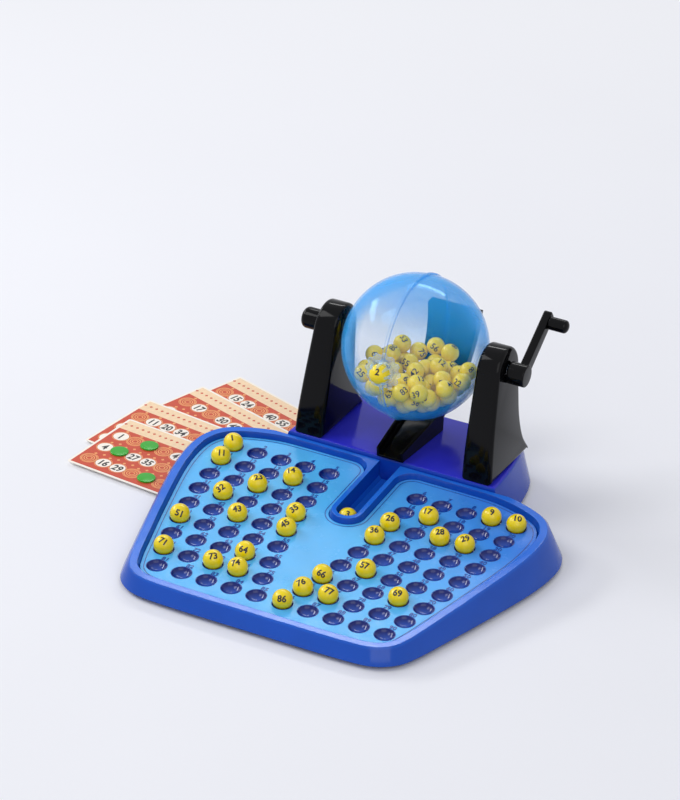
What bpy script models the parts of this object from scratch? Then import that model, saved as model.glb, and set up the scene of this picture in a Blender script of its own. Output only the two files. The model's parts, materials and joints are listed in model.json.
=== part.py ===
"""Bingo game: a ball tray, a turning globe on its stand, number balls, cards and markers.

Everything is in metres with +Z up. The tray and what lies in it are drawn in the tray's own
frame, which is tilted about X, and the globe and crank turn about an axle along X.
"""
import math

import bmesh
import bpy
from mathutils import Matrix, Vector

# Balls and their cups
BALL_DIAMETER = 0.014
BALL_CLEARANCE = 0.0003
CUP_RIM_RADIUS = 0.0066
CUP_DEPTH = 0.0038
CUP_FLOOR_SHARE = 0.45
CUP_WALL = 0.0011
BOSS_FLOOR_SHARE = 0.62
COLUMN_PITCH = 0.019
ROW_PITCH = 0.01932
INNER_COLUMN_REAR = 0.0342
INNER_COLUMN_SWEEP = 0.0243
SWEEP_POWER = 1.86
COLUMNS_PER_SIDE = 5
ROWS = 9
BALL_NUMBERS = (1, 11, 14, 23, 32, 35, 43, 45, 51, 64, 71, 73, 74,
                9, 10, 17, 26, 28, 29, 36, 57, 66, 69, 76, 77, 86)
CHANNEL_NUMBER = 3
GLOBE_BALLS = 56
PILE_PACKING_SHARE = 0.88
PILE_FACET_SHARE = 1.14
PILE_TRIES = 58

# Clearances
GAP = 0.0003
OVERRUN = 0.001

# Cup board and tray
TRAY_SLOPE = math.radians(4)
PLATE_HEIGHT = 0.023
PLATE_SIDE_MARGIN = 0.0183
PLATE_HALF_WIDTH = INNER_COLUMN_REAR + (COLUMNS_PER_SIDE - 1) * COLUMN_PITCH + PLATE_SIDE_MARGIN
PLATE_REAR = 0.0227
PLATE_FRONT_MARGIN = 0.01744
PLATE_LENGTH = PLATE_REAR + (ROWS - 1) * ROW_PITCH + PLATE_FRONT_MARGIN
PLATE_EDGE_SHARES = (
    (0.0, 1.0), (0.545, 0.9964), (0.669, 0.986), (0.7315, 0.956), (0.768, 0.902),
    (0.817, 0.784), (0.887, 0.605), (0.986, 0.312), (1.0, 0.194), (0.988, 0.132),
    (0.942, 0.078), (0.848, 0.041), (0.661, 0.006), (0.467, 0.0))
BOARD_THICKNESS = 0.0022
LEDGE_WIDTH = 0.0032
LEDGE_THICKNESS = 0.0018
RIM_HEIGHT = 0.004
RIM_DRAFT = 0.0016
RIM_WIDTH = 0.0068
SHOULDER_DROP = 0.0016
SHOULDER_WIDTH = 0.0086
SKIRT_DRAFT_SHARE = 0.42
SKIRT_WALL = 0.002
TRAY_REAR = 0.0268
FOOT_HEIGHT = 0.003
FOOT_RADIUS = 0.003
TRAY_FOOT_POINTS = (1, 6, 13)
TRAY_FOOT_REACH_SHARE = 0.985

# Ball channel in the tray
CHANNEL_HALF_WIDTH = 0.008
CHANNEL_DEPTH = 0.0103
CHANNEL_FLOOR_CHAMFER = 0.0022
CHANNEL_WALL = 0.0022
CHANNEL_END = -0.0385
ISLAND_HALF_WIDTH = 0.013
ISLAND_FILLET = 0.013

# Globe, and the heights and widths of the stand that follow from it
GLOBE_RADIUS = 0.052
GLOBE_SIDE_CLEARANCE = 0.002
GUARD_CLEARANCE = 0.015
GUARD_RISE = 0.0085
CHUTE_RADIUS = GLOBE_RADIUS + GUARD_CLEARANCE
AXLE_RISE = CHUTE_RADIUS + GUARD_RISE
AXLE_SETBACK_SHARE = 0.4106
AXLE_SETBACK = AXLE_RISE * AXLE_SETBACK_SHARE
UPRIGHT_INNER = GLOBE_RADIUS + GLOBE_SIDE_CLEARANCE
UPRIGHT_BASE_THICKNESS = 0.023

# Stand base
DECK_HEIGHT = 0.032
DECK_SIDE_MARGIN = 0.004
DECK_HALF_WIDTH = UPRIGHT_INNER + UPRIGHT_BASE_THICKNESS + DECK_SIDE_MARGIN
DECK_DEPTH_SHARE = 1.02
DECK_DEPTH = AXLE_RISE * DECK_DEPTH_SHARE
DECK_EDGE_SHARES = ((1.0, 0.0), (0.994, 0.2), (0.969, 0.47), (0.914, 0.78), (0.85, 0.93),
                    (0.74, 0.99), (0.0, 1.0))
DECK_FLARE = 0.0085
DECK_EDGE_RADIUS = 0.0025
DECK_WALL = 0.0025
STAND_FOOT_RADIUS = 0.005
STAND_FOOT_SHARES = ((0.55, 0.16), (0.55, 0.84))
EDGE_STEP_SHARE = 0.3

# Uprights
UPRIGHT_TOP_THICKNESS = 0.017
UPRIGHT_TOP_RADIUS = 0.0175
UPRIGHT_FRONT_SHARES = ((0.0, -0.40), (0.18, -0.39), (0.42, -0.355), (0.72, -0.295))
UPRIGHT_REAR_SHARES = ((0.72, 0.238), (0.42, 0.262), (0.18, 0.34), (0.0, 0.475))
UPRIGHT_EDGE_RADIUS = 0.0028
SPIGOT_DEPTH = 0.0045
SPIGOT_HALF_LENGTH = 0.016
SPIGOT_HALF_WIDTH = 0.006
SPIGOT_CORNER = 0.002

# Globe wall, axle and port
GLOBE_WALL = 0.0015
SEAM_LIP_HEIGHT = 0.001
SEAM_LIP_WIDTH = 0.0012
AXLE_RADIUS = 0.005
AXLE_REACH = 0.008
AXLE_BOSS_SHARES = ((2.0, 0.0), (1.0, 0.5))
PORT_TILT = math.radians(4.5)
PORT_RADIUS = 0.00775
CLAW_FLANGE_RADIUS = 0.0135
CLAW_NOTCH = 0.0018
CLAW_NOTCH_SHARE = 0.9
CLAW_FLANGE_THICKNESS = 0.0012
CLAW_COLLAR_WALL = 0.0013
CLAW_COLLAR_HEIGHT = 0.0032
CLAW_REACH = 0.0105
CLAW_TIP_RADIUS = 0.0057
CLAW_FINGERS = 8
CLAW_FINGER_WIDTH = 0.0022
CLAW_FINGER_THICKNESS = 0.0012
CLAW_BEND_SHARE = 0.45
CLAW_TIP_SHARE = 0.55

# Crank, handle and knob
HUB_RADIUS = 0.008
KNOB_LENGTH = 0.0145
KNOB_RADIUS = 0.0078
KNOB_DOME_SHARES = ((1.0, 0.72), (0.88, 0.87), (0.5, 0.98))
ARM_THICKNESS = 0.006
ARM_WIDTH = 0.0098
ARM_TIP_WIDTH = 0.0086
ARM_TIP_REACH = 0.0072
ARM_EDGE = 0.001
ARM_STANDOFF = 0.006
CRANK_RADIUS = 0.044
CRANK_RISE = math.radians(36)
HANDLE_RADIUS = 0.00475
HANDLE_LENGTH = 0.0145
HANDLE_DOME = 0.003
PIN_RADIUS = 0.002
PIN_LENGTH = 0.0105

# Ball chute
CHUTE_THICKNESS = 0.0018
CHUTE_WALL = 0.0018
CHUTE_WALL_HEIGHT = 0.006
CHUTE_FRONT_HALF_WIDTH = 0.0102
CHUTE_TOP_HALF_WIDTH = 0.020
CHUTE_OVERHANG = 0.0015
CHUTE_TOP_ANGLE = math.radians(3)
CHUTE_BASE_REACH = 0.026

# Cards and markers
CARD_LENGTH = 0.120
CARD_DEPTH = 0.077
CARD_CORNER = 0.002
CARD_THICKNESS = 0.0004
CARD_PLACE_SHARES = ((-0.685, 0.387), (-0.703, 0.821), (-0.515, 1.340), (-0.382, 1.713))
CARD_TURNS_IN_DEGREES = (-6, -8, -18, -19)
CARD_MARGIN = 0.003
CARD_SIDE_MARGIN = 0.0042
CARD_CELL = 0.0124
CARD_ROW = 0.0195
MARKER_RADIUS = 0.0066
MARKER_THICKNESS = 0.001
MARKER_EDGE_SHARE = 0.25
MARKER_CELLS = ((2, 2), (1, 1), (4, 0))

# Facets
CUP_SIDES = 6
BOSS_SIDES = 4
ROUND_SIDES = 24
SMALL_SIDES = 12


# Helpers for outlines

def smooth_through(points, steps):
    """Centripetal spline through the points, with this many steps in each span."""
    places = [Vector(point) for point in points]
    first = places[0] * 2 - places[1]
    last = places[-1] * 2 - places[-2]
    guides = [first] + places + [last]
    curve = []
    for index in range(1, len(guides) - 2):
        before, start, end, after = guides[index - 1:index + 3]
        knots = [0.0]
        for near, far in ((before, start), (start, end), (end, after)):
            knots.append(knots[-1] + math.sqrt((far - near).length))
        for step in range(steps):
            at = knots[1] + (knots[2] - knots[1]) * step / steps
            lower = blend_knots(before, start, knots[0], knots[1], at)
            middle = blend_knots(start, end, knots[1], knots[2], at)
            upper = blend_knots(end, after, knots[2], knots[3], at)
            left = blend_knots(lower, middle, knots[0], knots[2], at)
            right = blend_knots(middle, upper, knots[1], knots[3], at)
            curve.append(blend_knots(left, right, knots[1], knots[2], at))
    curve.append(places[-1])
    return curve


def blend_knots(one, two, knot_one, knot_two, at):
    share = (at - knot_one) / (knot_two - knot_one)
    return one.lerp(two, share)


def arc(centre, radius, start, end, steps):
    """Points on an arc between two angles in degrees, both ends included."""
    points = []
    for step in range(steps + 1):
        angle = math.radians(start + (end - start) * step / steps)
        points.append(Vector((centre[0] + radius * math.cos(angle),
                              centre[1] + radius * math.sin(angle))))
    return points


def offset_outline(outline, distance):
    """Move a counter-clockwise closed outline outward by a distance, or inward if it is negative."""
    moved = []
    for index, point in enumerate(outline):
        before = point - outline[index - 1]
        after = outline[(index + 1) % len(outline)] - point
        normal_before = Vector((before.y, -before.x)).normalized()
        normal_after = Vector((after.y, -after.x)).normalized()
        middle = (normal_before + normal_after).normalized()
        moved.append(point + middle * (distance / middle.dot(normal_before)))
    return moved


def at_height(outline, height):
    return [Vector((point.x, point.y, height)) for point in outline]


def rounded_rectangle(half_width, half_length, radius, steps=3):
    corners = ((1, 1, 0), (-1, 1, 90), (-1, -1, 180), (1, -1, 270))
    outline = []
    for side, end, start in corners:
        centre = (side * (half_width - radius), end * (half_length - radius))
        outline += arc(centre, radius, start, start + 90, steps)
    return outline


# Helpers for meshes

def to_mesh(shape, name="shape"):
    bmesh.ops.recalc_face_normals(shape, faces=shape.faces[:])
    mesh = bpy.data.meshes.new(name)
    shape.to_mesh(mesh)
    shape.free()
    return mesh


def loft(loops):
    """Closed solid through loops of equally many points, with both ends capped."""
    shape = bmesh.new()
    rings = [[shape.verts.new(point) for point in loop] for loop in loops]
    for lower, upper in zip(rings, rings[1:]):
        for index in range(len(lower)):
            after = (index + 1) % len(lower)
            shape.faces.new((lower[index], lower[after], upper[after], upper[index]))
    shape.faces.new(rings[0])
    shape.faces.new(rings[-1])
    return to_mesh(shape)


def lathe(profile, sides, turn=0.0):
    """Turn (radius, height) pairs about Z. Ends at radius 0 close the solid, and else it is a ring."""
    shape = bmesh.new()
    rings = []
    for radius, height in profile:
        if radius == 0:
            rings.append([shape.verts.new((0, 0, height))])
            continue
        ring = []
        for side in range(sides):
            angle = turn + 2 * math.pi * side / sides
            ring.append(shape.verts.new((radius * math.cos(angle), radius * math.sin(angle), height)))
        rings.append(ring)
    pairs = list(zip(rings, rings[1:]))
    if profile[0][0] != 0:
        pairs.append((rings[-1], rings[0]))
    for lower, upper in pairs:
        for side in range(sides):
            after = (side + 1) % sides
            if len(lower) == 1:
                shape.faces.new((lower[0], upper[after], upper[side]))
            elif len(upper) == 1:
                shape.faces.new((lower[side], lower[after], upper[0]))
            else:
                shape.faces.new((lower[side], lower[after], upper[after], upper[side]))
    return to_mesh(shape)


def ball_mesh(radius, fineness):
    shape = bmesh.new()
    bmesh.ops.create_icosphere(shape, subdivisions=fineness, radius=radius)
    return to_mesh(shape)


def moved(mesh, place=(0, 0, 0), turn=None):
    """The mesh turned by a rotation matrix, then moved."""
    mesh.transform(Matrix.Translation(place) @ (turn or Matrix.Identity(4)))
    return mesh


def joined(meshes):
    """One mesh that holds all these as separate bodies."""
    shape = bmesh.new()
    for mesh in meshes:
        shape.from_mesh(mesh)
    return to_mesh(shape)


def combined(mesh, tool, operation="DIFFERENCE"):
    """The mesh after one Boolean with the tool mesh."""
    body = bpy.data.objects.new("body", mesh)
    other = bpy.data.objects.new("tool", tool)
    for thing in (body, other):
        bpy.context.scene.collection.objects.link(thing)
    step = body.modifiers.new("step", "BOOLEAN")
    step.operation = operation
    step.solver = "EXACT"
    step.object = other
    depsgraph = bpy.context.evaluated_depsgraph_get()
    result = bpy.data.meshes.new_from_object(body.evaluated_get(depsgraph))
    bpy.data.objects.remove(body)
    bpy.data.objects.remove(other)
    return result


def look(name, colour, roughness, alpha=1.0):
    made = bpy.data.materials.new(name)
    made.use_nodes = True
    shader = made.node_tree.nodes["Principled BSDF"]
    shader.inputs["Base Color"].default_value = (*colour, 1)
    shader.inputs["Roughness"].default_value = roughness
    shader.inputs["Metallic"].default_value = 0
    shader.inputs["Alpha"].default_value = alpha
    return made


def empty(name, parent=None, place=(0, 0, 0), turn=(0, 0, 0)):
    holder = bpy.data.objects.new(name, None)
    bpy.context.scene.collection.objects.link(holder)
    holder.parent = parent
    holder.location = place
    holder.rotation_euler = turn
    return holder


def piece(name, mesh, finish, parent, place=(0, 0, 0), turn=(0, 0, 0)):
    mesh.name = name
    mesh.materials.clear()
    mesh.materials.append(finish)
    mesh.shade_smooth()
    mesh.set_sharp_from_angle(angle=math.radians(32))
    made = bpy.data.objects.new(name, mesh)
    bpy.context.scene.collection.objects.link(made)
    made.parent = parent
    made.location = place
    made.rotation_euler = turn
    return made


# Tray and cup board, in the tray's own tilted frame

def plate_point(shares):
    return Vector((shares[0] * PLATE_HALF_WIDTH, PLATE_REAR - shares[1] * PLATE_LENGTH))


def plate_half_edge():
    return smooth_through([plate_point(shares) for shares in PLATE_EDGE_SHARES], 2)


def plate_edge(with_island):
    """Edge of the board's recess, counter-clockwise from the front, round the channel's island."""
    right = plate_half_edge()
    left = [Vector((-point.x, point.y)) for point in reversed(right[1:])]
    island = []
    if with_island:
        reach = ISLAND_HALF_WIDTH + ISLAND_FILLET
        below = PLATE_REAR - ISLAND_FILLET
        island += arc((reach, below), ISLAND_FILLET, 90, 180, 5)
        island += arc((0, CHANNEL_END), ISLAND_HALF_WIDTH, 0, -180, 10)
        island += arc((-reach, below), ISLAND_FILLET, 0, 90, 5)
    return right + island + left


def height_in_tray(y, world_height):
    """Height in the tray's frame of a point that lies this high in the world."""
    return (world_height - PLATE_HEIGHT - y * math.sin(TRAY_SLOPE)) / math.cos(TRAY_SLOPE)


def held_in_front(point, height, rear):
    """Keep a point of the tray in front of the upright plane where the stand begins."""
    limit = (rear + height * math.sin(TRAY_SLOPE)) / math.cos(TRAY_SLOPE)
    return Vector((point.x, min(point.y, limit), height))


def skirt_width(height):
    return SHOULDER_WIDTH + SKIRT_DRAFT_SHARE * (RIM_HEIGHT - SHOULDER_DROP - height)


def skirt_loop(height, inset, rear):
    edge = offset_outline(plate_edge(False), skirt_width(height) - inset)
    return [held_in_front(point, height, rear) for point in edge]


def skirt_foot_loop(inset, drop, rear):
    """The skirt's lower edge, level with the ground and this far below its real place."""
    edge = plate_edge(False)
    loop = []
    for index, point in enumerate(edge):
        level = height_in_tray(point.y, FOOT_HEIGHT - drop)
        wide = offset_outline(edge, skirt_width(level) - inset)[index]
        held = wide
        for settle in range(3):
            held = held_in_front(wide, height_in_tray(held.y, FOOT_HEIGHT - drop), rear)
        loop.append(held)
    return loop


def tray_frame_mesh():
    edge = plate_edge(False)
    seat = -BOARD_THICKNESS - GAP
    ledge = seat - LEDGE_THICKNESS
    crest = [held_in_front(point, RIM_HEIGHT, TRAY_REAR) for point in offset_outline(edge, RIM_WIDTH)]
    shoulder = skirt_loop(RIM_HEIGHT - SHOULDER_DROP, 0, TRAY_REAR)
    body = loft([skirt_foot_loop(0, 0, TRAY_REAR), shoulder, crest])
    inner_rear = TRAY_REAR - SKIRT_WALL
    body = combined(body, loft([skirt_foot_loop(SKIRT_WALL, OVERRUN, inner_rear),
                                skirt_loop(ledge, SKIRT_WALL, inner_rear)]))
    recess = plate_edge(True)
    above = RIM_HEIGHT + OVERRUN
    draft = RIM_DRAFT * above / RIM_HEIGHT
    body = combined(body, loft([at_height(recess, seat), at_height(recess, 0),
                                at_height(offset_outline(recess, draft), above)]))
    opening = offset_outline(recess, -LEDGE_WIDTH)
    body = combined(body, loft([at_height(opening, ledge - OVERRUN),
                                at_height(opening, seat + OVERRUN)]))
    trough_bottom = -CHANNEL_DEPTH - CHANNEL_WALL
    trough = channel_outline(CHANNEL_HALF_WIDTH + CHANNEL_WALL, TRAY_REAR - SKIRT_WALL / 2)
    body = combined(body, loft([at_height(trough, trough_bottom),
                                at_height(trough, ledge + OVERRUN)]), "UNION")
    body = combined(body, channel_cutter())
    for foot in tray_feet(ledge + OVERRUN / 2):
        body = combined(body, foot, "UNION")
    return body


def channel_outline(half_width, rear):
    end = arc((0, CHANNEL_END), half_width, 0, -180, 12)
    return [Vector((half_width, rear))] + end + [Vector((-half_width, rear))]


def channel_cutter():
    rear = TRAY_REAR + BALL_DIAMETER
    narrow = CHANNEL_HALF_WIDTH - CHANNEL_FLOOR_CHAMFER
    return loft([at_height(channel_outline(narrow, rear), -CHANNEL_DEPTH),
                 at_height(channel_outline(CHANNEL_HALF_WIDTH, rear),
                           -CHANNEL_DEPTH + CHANNEL_FLOOR_CHAMFER),
                 at_height(channel_outline(CHANNEL_HALF_WIDTH, rear), RIM_HEIGHT + OVERRUN)])


def cup_places():
    """Number and place of every cup: ten to a row, counted from the left, rows from the rear."""
    places = {}
    for row in range(ROWS):
        inner = INNER_COLUMN_REAR - INNER_COLUMN_SWEEP * (row / (ROWS - 1)) ** SWEEP_POWER
        for column in range(COLUMNS_PER_SIDE):
            reach = inner + COLUMN_PITCH * column
            left = row * 2 * COLUMNS_PER_SIDE + COLUMNS_PER_SIDE - column
            right = row * 2 * COLUMNS_PER_SIDE + COLUMNS_PER_SIDE + column + 1
            places[left] = Vector((-reach, -ROW_PITCH * row, 0))
            places[right] = Vector((reach, -ROW_PITCH * row, 0))
    return places


def cup_profile():
    """Rim and floor of a cup as (flat radius, height), round the ball that sits in it."""
    return ((CUP_RIM_RADIUS, OVERRUN), (CUP_RIM_RADIUS, 0),
            (CUP_RIM_RADIUS * CUP_FLOOR_SHARE, -CUP_DEPTH))


def many_sided(profile, sides, turn):
    """Solid with a flat on each side at the profile's radius, closed at both ends."""
    corner = 1 / math.cos(math.pi / sides)
    loops = []
    for radius, height in profile:
        loop = []
        for side in range(sides):
            angle = turn + 2 * math.pi * side / sides
            loop.append(Vector((radius * corner * math.cos(angle),
                                radius * corner * math.sin(angle), height)))
        loops.append(loop)
    return loft(loops)


def cup_board_mesh():
    outline = offset_outline(plate_edge(True), -GAP)
    board = loft([at_height(outline, -BOARD_THICKNESS), at_height(outline, 0)])
    boss = ((CUP_RIM_RADIUS * BOSS_FLOOR_SHARE, -CUP_DEPTH - CUP_WALL),
            (CUP_RIM_RADIUS, -BOARD_THICKNESS + OVERRUN / 2))
    bosses = []
    cups = []
    for place in cup_places().values():
        bosses.append(moved(many_sided(boss, BOSS_SIDES, math.pi / BOSS_SIDES), place))
        cups.append(moved(many_sided(cup_profile(), CUP_SIDES, math.pi / CUP_SIDES), place))
    board = combined(board, joined(bosses), "UNION")
    return combined(board, joined(cups))


def tray_feet(top):
    """Round posts from inside the tray's ledge down to the ground, where they are cut level."""
    feet = []
    middle = Vector((0, PLATE_REAR - PLATE_LENGTH / 2))
    for index in TRAY_FOOT_POINTS:
        point = middle.lerp(plate_point(PLATE_EDGE_SHARES[index]), TRAY_FOOT_REACH_SHARE)
        for side in (1, -1):
            post = arc((side * point.x, point.y), FOOT_RADIUS, 0, 360, SMALL_SIDES)[:-1]
            sole = [Vector((place.x, place.y, height_in_tray(place.y, 0))) for place in post]
            feet.append(loft([sole, at_height(post, top)]))
    return feet


# Stand base and uprights, in the world's frame, with the front of the stand at this place

STAND_FRONT = TRAY_REAR + GAP
AXLE_Y = STAND_FRONT + AXLE_SETBACK
AXLE_Z = DECK_HEIGHT + AXLE_RISE


def deck_outline(extra, front):
    """Outline of the stand base, this much wider at the sides and rear and set back at the front."""
    half = []
    for across, back in DECK_EDGE_SHARES:
        half.append(Vector((across * DECK_HALF_WIDTH, STAND_FRONT + back * DECK_DEPTH)))
    right = smooth_through(half, 3)
    left = [Vector((-point.x, point.y)) for point in reversed(right[:-1])]
    wide = offset_outline(right + left, extra)
    return [Vector((point.x, max(point.y, STAND_FRONT + front))) for point in wide]


def upright_thickness(height):
    """Thickness of an upright at a height above the deck."""
    share = height / (AXLE_RISE + UPRIGHT_TOP_RADIUS)
    return UPRIGHT_BASE_THICKNESS + (UPRIGHT_TOP_THICKNESS - UPRIGHT_BASE_THICKNESS) * share


def spigot_outline(clearance):
    return rounded_rectangle(SPIGOT_HALF_WIDTH + clearance, SPIGOT_HALF_LENGTH + clearance,
                             SPIGOT_CORNER + clearance, 2)


def spigot_place(side):
    return (side * (UPRIGHT_INNER + UPRIGHT_BASE_THICKNESS / 2), AXLE_Y)


def stand_base_mesh():
    edge = DECK_EDGE_RADIUS
    step = edge * EDGE_STEP_SHARE
    flare = DECK_FLARE * (DECK_HEIGHT - edge - FOOT_HEIGHT) / DECK_HEIGHT
    body = loft([at_height(deck_outline(flare, 0), FOOT_HEIGHT),
                 at_height(deck_outline(0, 0), DECK_HEIGHT - edge),
                 at_height(deck_outline(-step, step), DECK_HEIGHT - step),
                 at_height(deck_outline(-edge, edge), DECK_HEIGHT)])
    inside = loft([at_height(deck_outline(flare - DECK_WALL, DECK_WALL), FOOT_HEIGHT - OVERRUN),
                   at_height(deck_outline(-DECK_WALL, DECK_WALL), DECK_HEIGHT - DECK_WALL)])
    body = combined(body, inside)
    for side in (1, -1):
        x, y = spigot_place(side)
        socket = loft([at_height(spigot_outline(GAP), DECK_HEIGHT - SPIGOT_DEPTH * 2),
                       at_height(spigot_outline(GAP), DECK_HEIGHT + OVERRUN)])
        body = combined(body, moved(socket, (x, y, 0)))
    for foot in stand_feet():
        body = combined(body, foot, "UNION")
    return body


def stand_feet():
    """Round posts from inside the deck down to the ground."""
    feet = []
    top = DECK_HEIGHT - DECK_WALL / 2
    foot = ((0, 0), (STAND_FOOT_RADIUS, 0), (STAND_FOOT_RADIUS, top), (0, top))
    for across, back in STAND_FOOT_SHARES:
        for side in (1, -1):
            place = (side * across * DECK_HALF_WIDTH, STAND_FRONT + back * DECK_DEPTH, 0)
            feet.append(moved(lathe(foot, SMALL_SIDES), place))
    return feet


def upright_profile():
    """Side view of an upright about the axle, as (y, z), from the foot of its front edge."""
    front = []
    for up, back in UPRIGHT_FRONT_SHARES:
        front.append(Vector((back * AXLE_RISE, (up - 1) * AXLE_RISE + GAP)))
    rear = []
    for up, back in UPRIGHT_REAR_SHARES:
        rear.append(Vector((back * AXLE_RISE, (up - 1) * AXLE_RISE + GAP)))
    top = arc((0, 0), UPRIGHT_TOP_RADIUS, 172, 8, 10)
    return smooth_through(front + [top[0]], 2)[:-1] + top + smooth_through([top[-1]] + rear, 2)[1:]


def upright_mesh():
    """The right upright about the axle, with its bearing bore and the spigot under it."""
    outline = upright_profile()
    base = -AXLE_RISE + GAP
    edge = UPRIGHT_EDGE_RADIUS
    step = edge * EDGE_STEP_SHARE
    stations = ((0, edge), (step, step), (edge, 0))
    loops = []
    for depth, inset in stations:
        loops.append((UPRIGHT_INNER, depth, inset))
    for depth, inset in reversed(stations):
        loops.append((None, depth, inset))
    shaped = []
    for inner, depth, inset in loops:
        loop = []
        for point in offset_outline(list(reversed(outline)), -inset):
            level = max(point.y, base)
            thickness = upright_thickness(level + AXLE_RISE)
            across = UPRIGHT_INNER + (depth if inner else thickness - depth)
            loop.append(Vector((across, point.x, level)))
        shaped.append(loop)
    body = loft(shaped)
    along = Matrix.Rotation(math.pi / 2, 4, "Y")
    length = UPRIGHT_BASE_THICKNESS + OVERRUN
    bore_radius = AXLE_RADIUS + GAP
    bore = lathe(((0, 0), (bore_radius, 0), (bore_radius, length), (0, length)), SMALL_SIDES)
    body = combined(body, moved(bore, (UPRIGHT_INNER - OVERRUN, 0, 0), along))
    outline = spigot_outline(0)
    spigot = loft([at_height(outline, base - SPIGOT_DEPTH), at_height(outline, base + SPIGOT_DEPTH)])
    across = spigot_place(1)[0]
    return combined(body, moved(spigot, (across, 0, 0)), "UNION")


def mirrored(mesh):
    """The same solid on the other side of the middle plane."""
    other = mesh.copy()
    other.transform(Matrix.Scale(-1, 4, (1, 0, 0)))
    other.flip_normals()
    return other


def outer_shell(mesh):
    """The connected part with the most corners, without closed hollows inside it."""
    shape = bmesh.new()
    shape.from_mesh(mesh)
    left = set(shape.verts)
    kept = set()
    while left:
        front = [left.pop()]
        found = set(front)
        while front:
            for edge in front.pop().link_edges:
                for vertex in edge.verts:
                    if vertex not in found:
                        found.add(vertex)
                        front.append(vertex)
        left -= found
        if len(found) > len(kept):
            kept = found
    loose = [vertex for vertex in shape.verts if vertex not in kept]
    bmesh.ops.delete(shape, geom=loose, context="VERTS")
    return to_mesh(shape)


# Globe, claw, knob and crank, about the axle

def axle_face():
    """How far from the middle a hub on the axle starts, clear of the slanted upright."""
    return UPRIGHT_INNER + upright_thickness(AXLE_RISE - HUB_RADIUS) + GAP


def globe_half_mesh():
    """The right half of the globe with its lip at the seam and its axle stub."""
    inner = GLOBE_RADIUS - GLOBE_WALL
    seam = GAP / 2
    profile = [(0, inner)]
    for step in range(1, 6):
        angle = math.radians(15 * step)
        profile.append((inner * math.sin(angle), inner * math.cos(angle)))
    lip = GLOBE_RADIUS + SEAM_LIP_HEIGHT
    profile += [(inner, seam), (lip, seam), (lip, seam + SEAM_LIP_WIDTH),
                (math.sqrt(GLOBE_RADIUS ** 2 - SEAM_LIP_WIDTH ** 2 * 4), SEAM_LIP_WIDTH * 2)]
    for step in range(5, 0, -1):
        angle = math.radians(15 * step)
        profile.append((GLOBE_RADIUS * math.sin(angle), GLOBE_RADIUS * math.cos(angle)))
    reach = axle_face() + AXLE_REACH
    foot = math.sqrt(GLOBE_RADIUS ** 2 - (AXLE_BOSS_SHARES[0][0] * AXLE_RADIUS) ** 2)
    for out, along in AXLE_BOSS_SHARES:
        profile.append((out * AXLE_RADIUS, foot + along * AXLE_RADIUS))
    profile += [(AXLE_RADIUS, reach), (0, reach)]
    half = moved(lathe(profile, ROUND_SIDES), turn=Matrix.Rotation(math.pi / 2, 4, "Y"))
    port = lathe(((0, inner - OVERRUN * 2), (PORT_RADIUS, inner - OVERRUN * 2),
                  (PORT_RADIUS, lip + OVERRUN), (0, lip + OVERRUN)), SMALL_SIDES)
    return combined(half, moved(port, turn=port_turn()))


def port_turn():
    direction = Vector((0, -math.cos(PORT_TILT), math.sin(PORT_TILT)))
    return Vector((0, 0, 1)).rotation_difference(direction).to_matrix().to_4x4()


def held_ball_reach():
    """How far from the globe's centre the ball in the claw sits, just outside the pile."""
    return GLOBE_RADIUS - GLOBE_WALL + GAP + BALL_DIAMETER / 2


def claw_mesh():
    """Clear claw over the port: a notched flange, a collar and fingers that close round one ball."""
    seat = GLOBE_RADIUS + SEAM_LIP_HEIGHT + GAP
    bore = BALL_DIAMETER / 2 + BALL_CLEARANCE
    collar = bore + CLAW_COLLAR_WALL
    middle = (collar + CLAW_FLANGE_RADIUS) / 2
    heights = [math.sqrt(seat ** 2 - radius ** 2) for radius in (bore, middle, CLAW_FLANGE_RADIUS)]
    thick = CLAW_FLANGE_THICKNESS
    top = heights[0] + CLAW_COLLAR_HEIGHT
    profile = ((bore, heights[0]), (middle, heights[1]), (CLAW_FLANGE_RADIUS, heights[2]),
               (CLAW_FLANGE_RADIUS, heights[2] + thick), (middle, heights[1] + thick),
               (collar, heights[0] + thick), (collar, top), (bore, top))
    body = lathe(profile, CLAW_FINGERS * 3)
    for vertex in body.vertices:
        radius = math.hypot(vertex.co.x, vertex.co.y)
        angle = math.atan2(vertex.co.y, vertex.co.x)
        notched = abs(math.sin(angle * CLAW_FINGERS * 3 / 4)) > CLAW_NOTCH_SHARE
        if radius > middle + CLAW_NOTCH and notched:
            vertex.co.x *= 1 - CLAW_NOTCH / radius
            vertex.co.y *= 1 - CLAW_NOTCH / radius
    for finger in range(CLAW_FINGERS):
        turn = Matrix.Rotation(2 * math.pi * finger / CLAW_FINGERS, 4, "Z")
        body = combined(body, moved(finger_mesh(bore, top), turn=turn), "UNION")
    return moved(body, turn=port_turn())


def finger_mesh(bore, top):
    """One finger from the collar's top, leaning in over the ball."""
    thick = CLAW_FINGER_THICKNESS
    half = CLAW_FINGER_WIDTH / 2
    bend = top + CLAW_REACH * CLAW_BEND_SHARE
    tip = GLOBE_RADIUS + CLAW_REACH
    stations = ((bore + GAP / 3, top - OVERRUN, 1.0), (bore + GAP / 3, bend, 1.0),
                (CLAW_TIP_RADIUS, tip, CLAW_TIP_SHARE))
    loops = []
    for radius, height, width in stations:
        loops.append([Vector((radius, -half * width, height)),
                      Vector((radius + thick, -half * width, height)),
                      Vector((radius + thick, half * width, height)),
                      Vector((radius, half * width, height))])
    return loft(loops)


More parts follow.
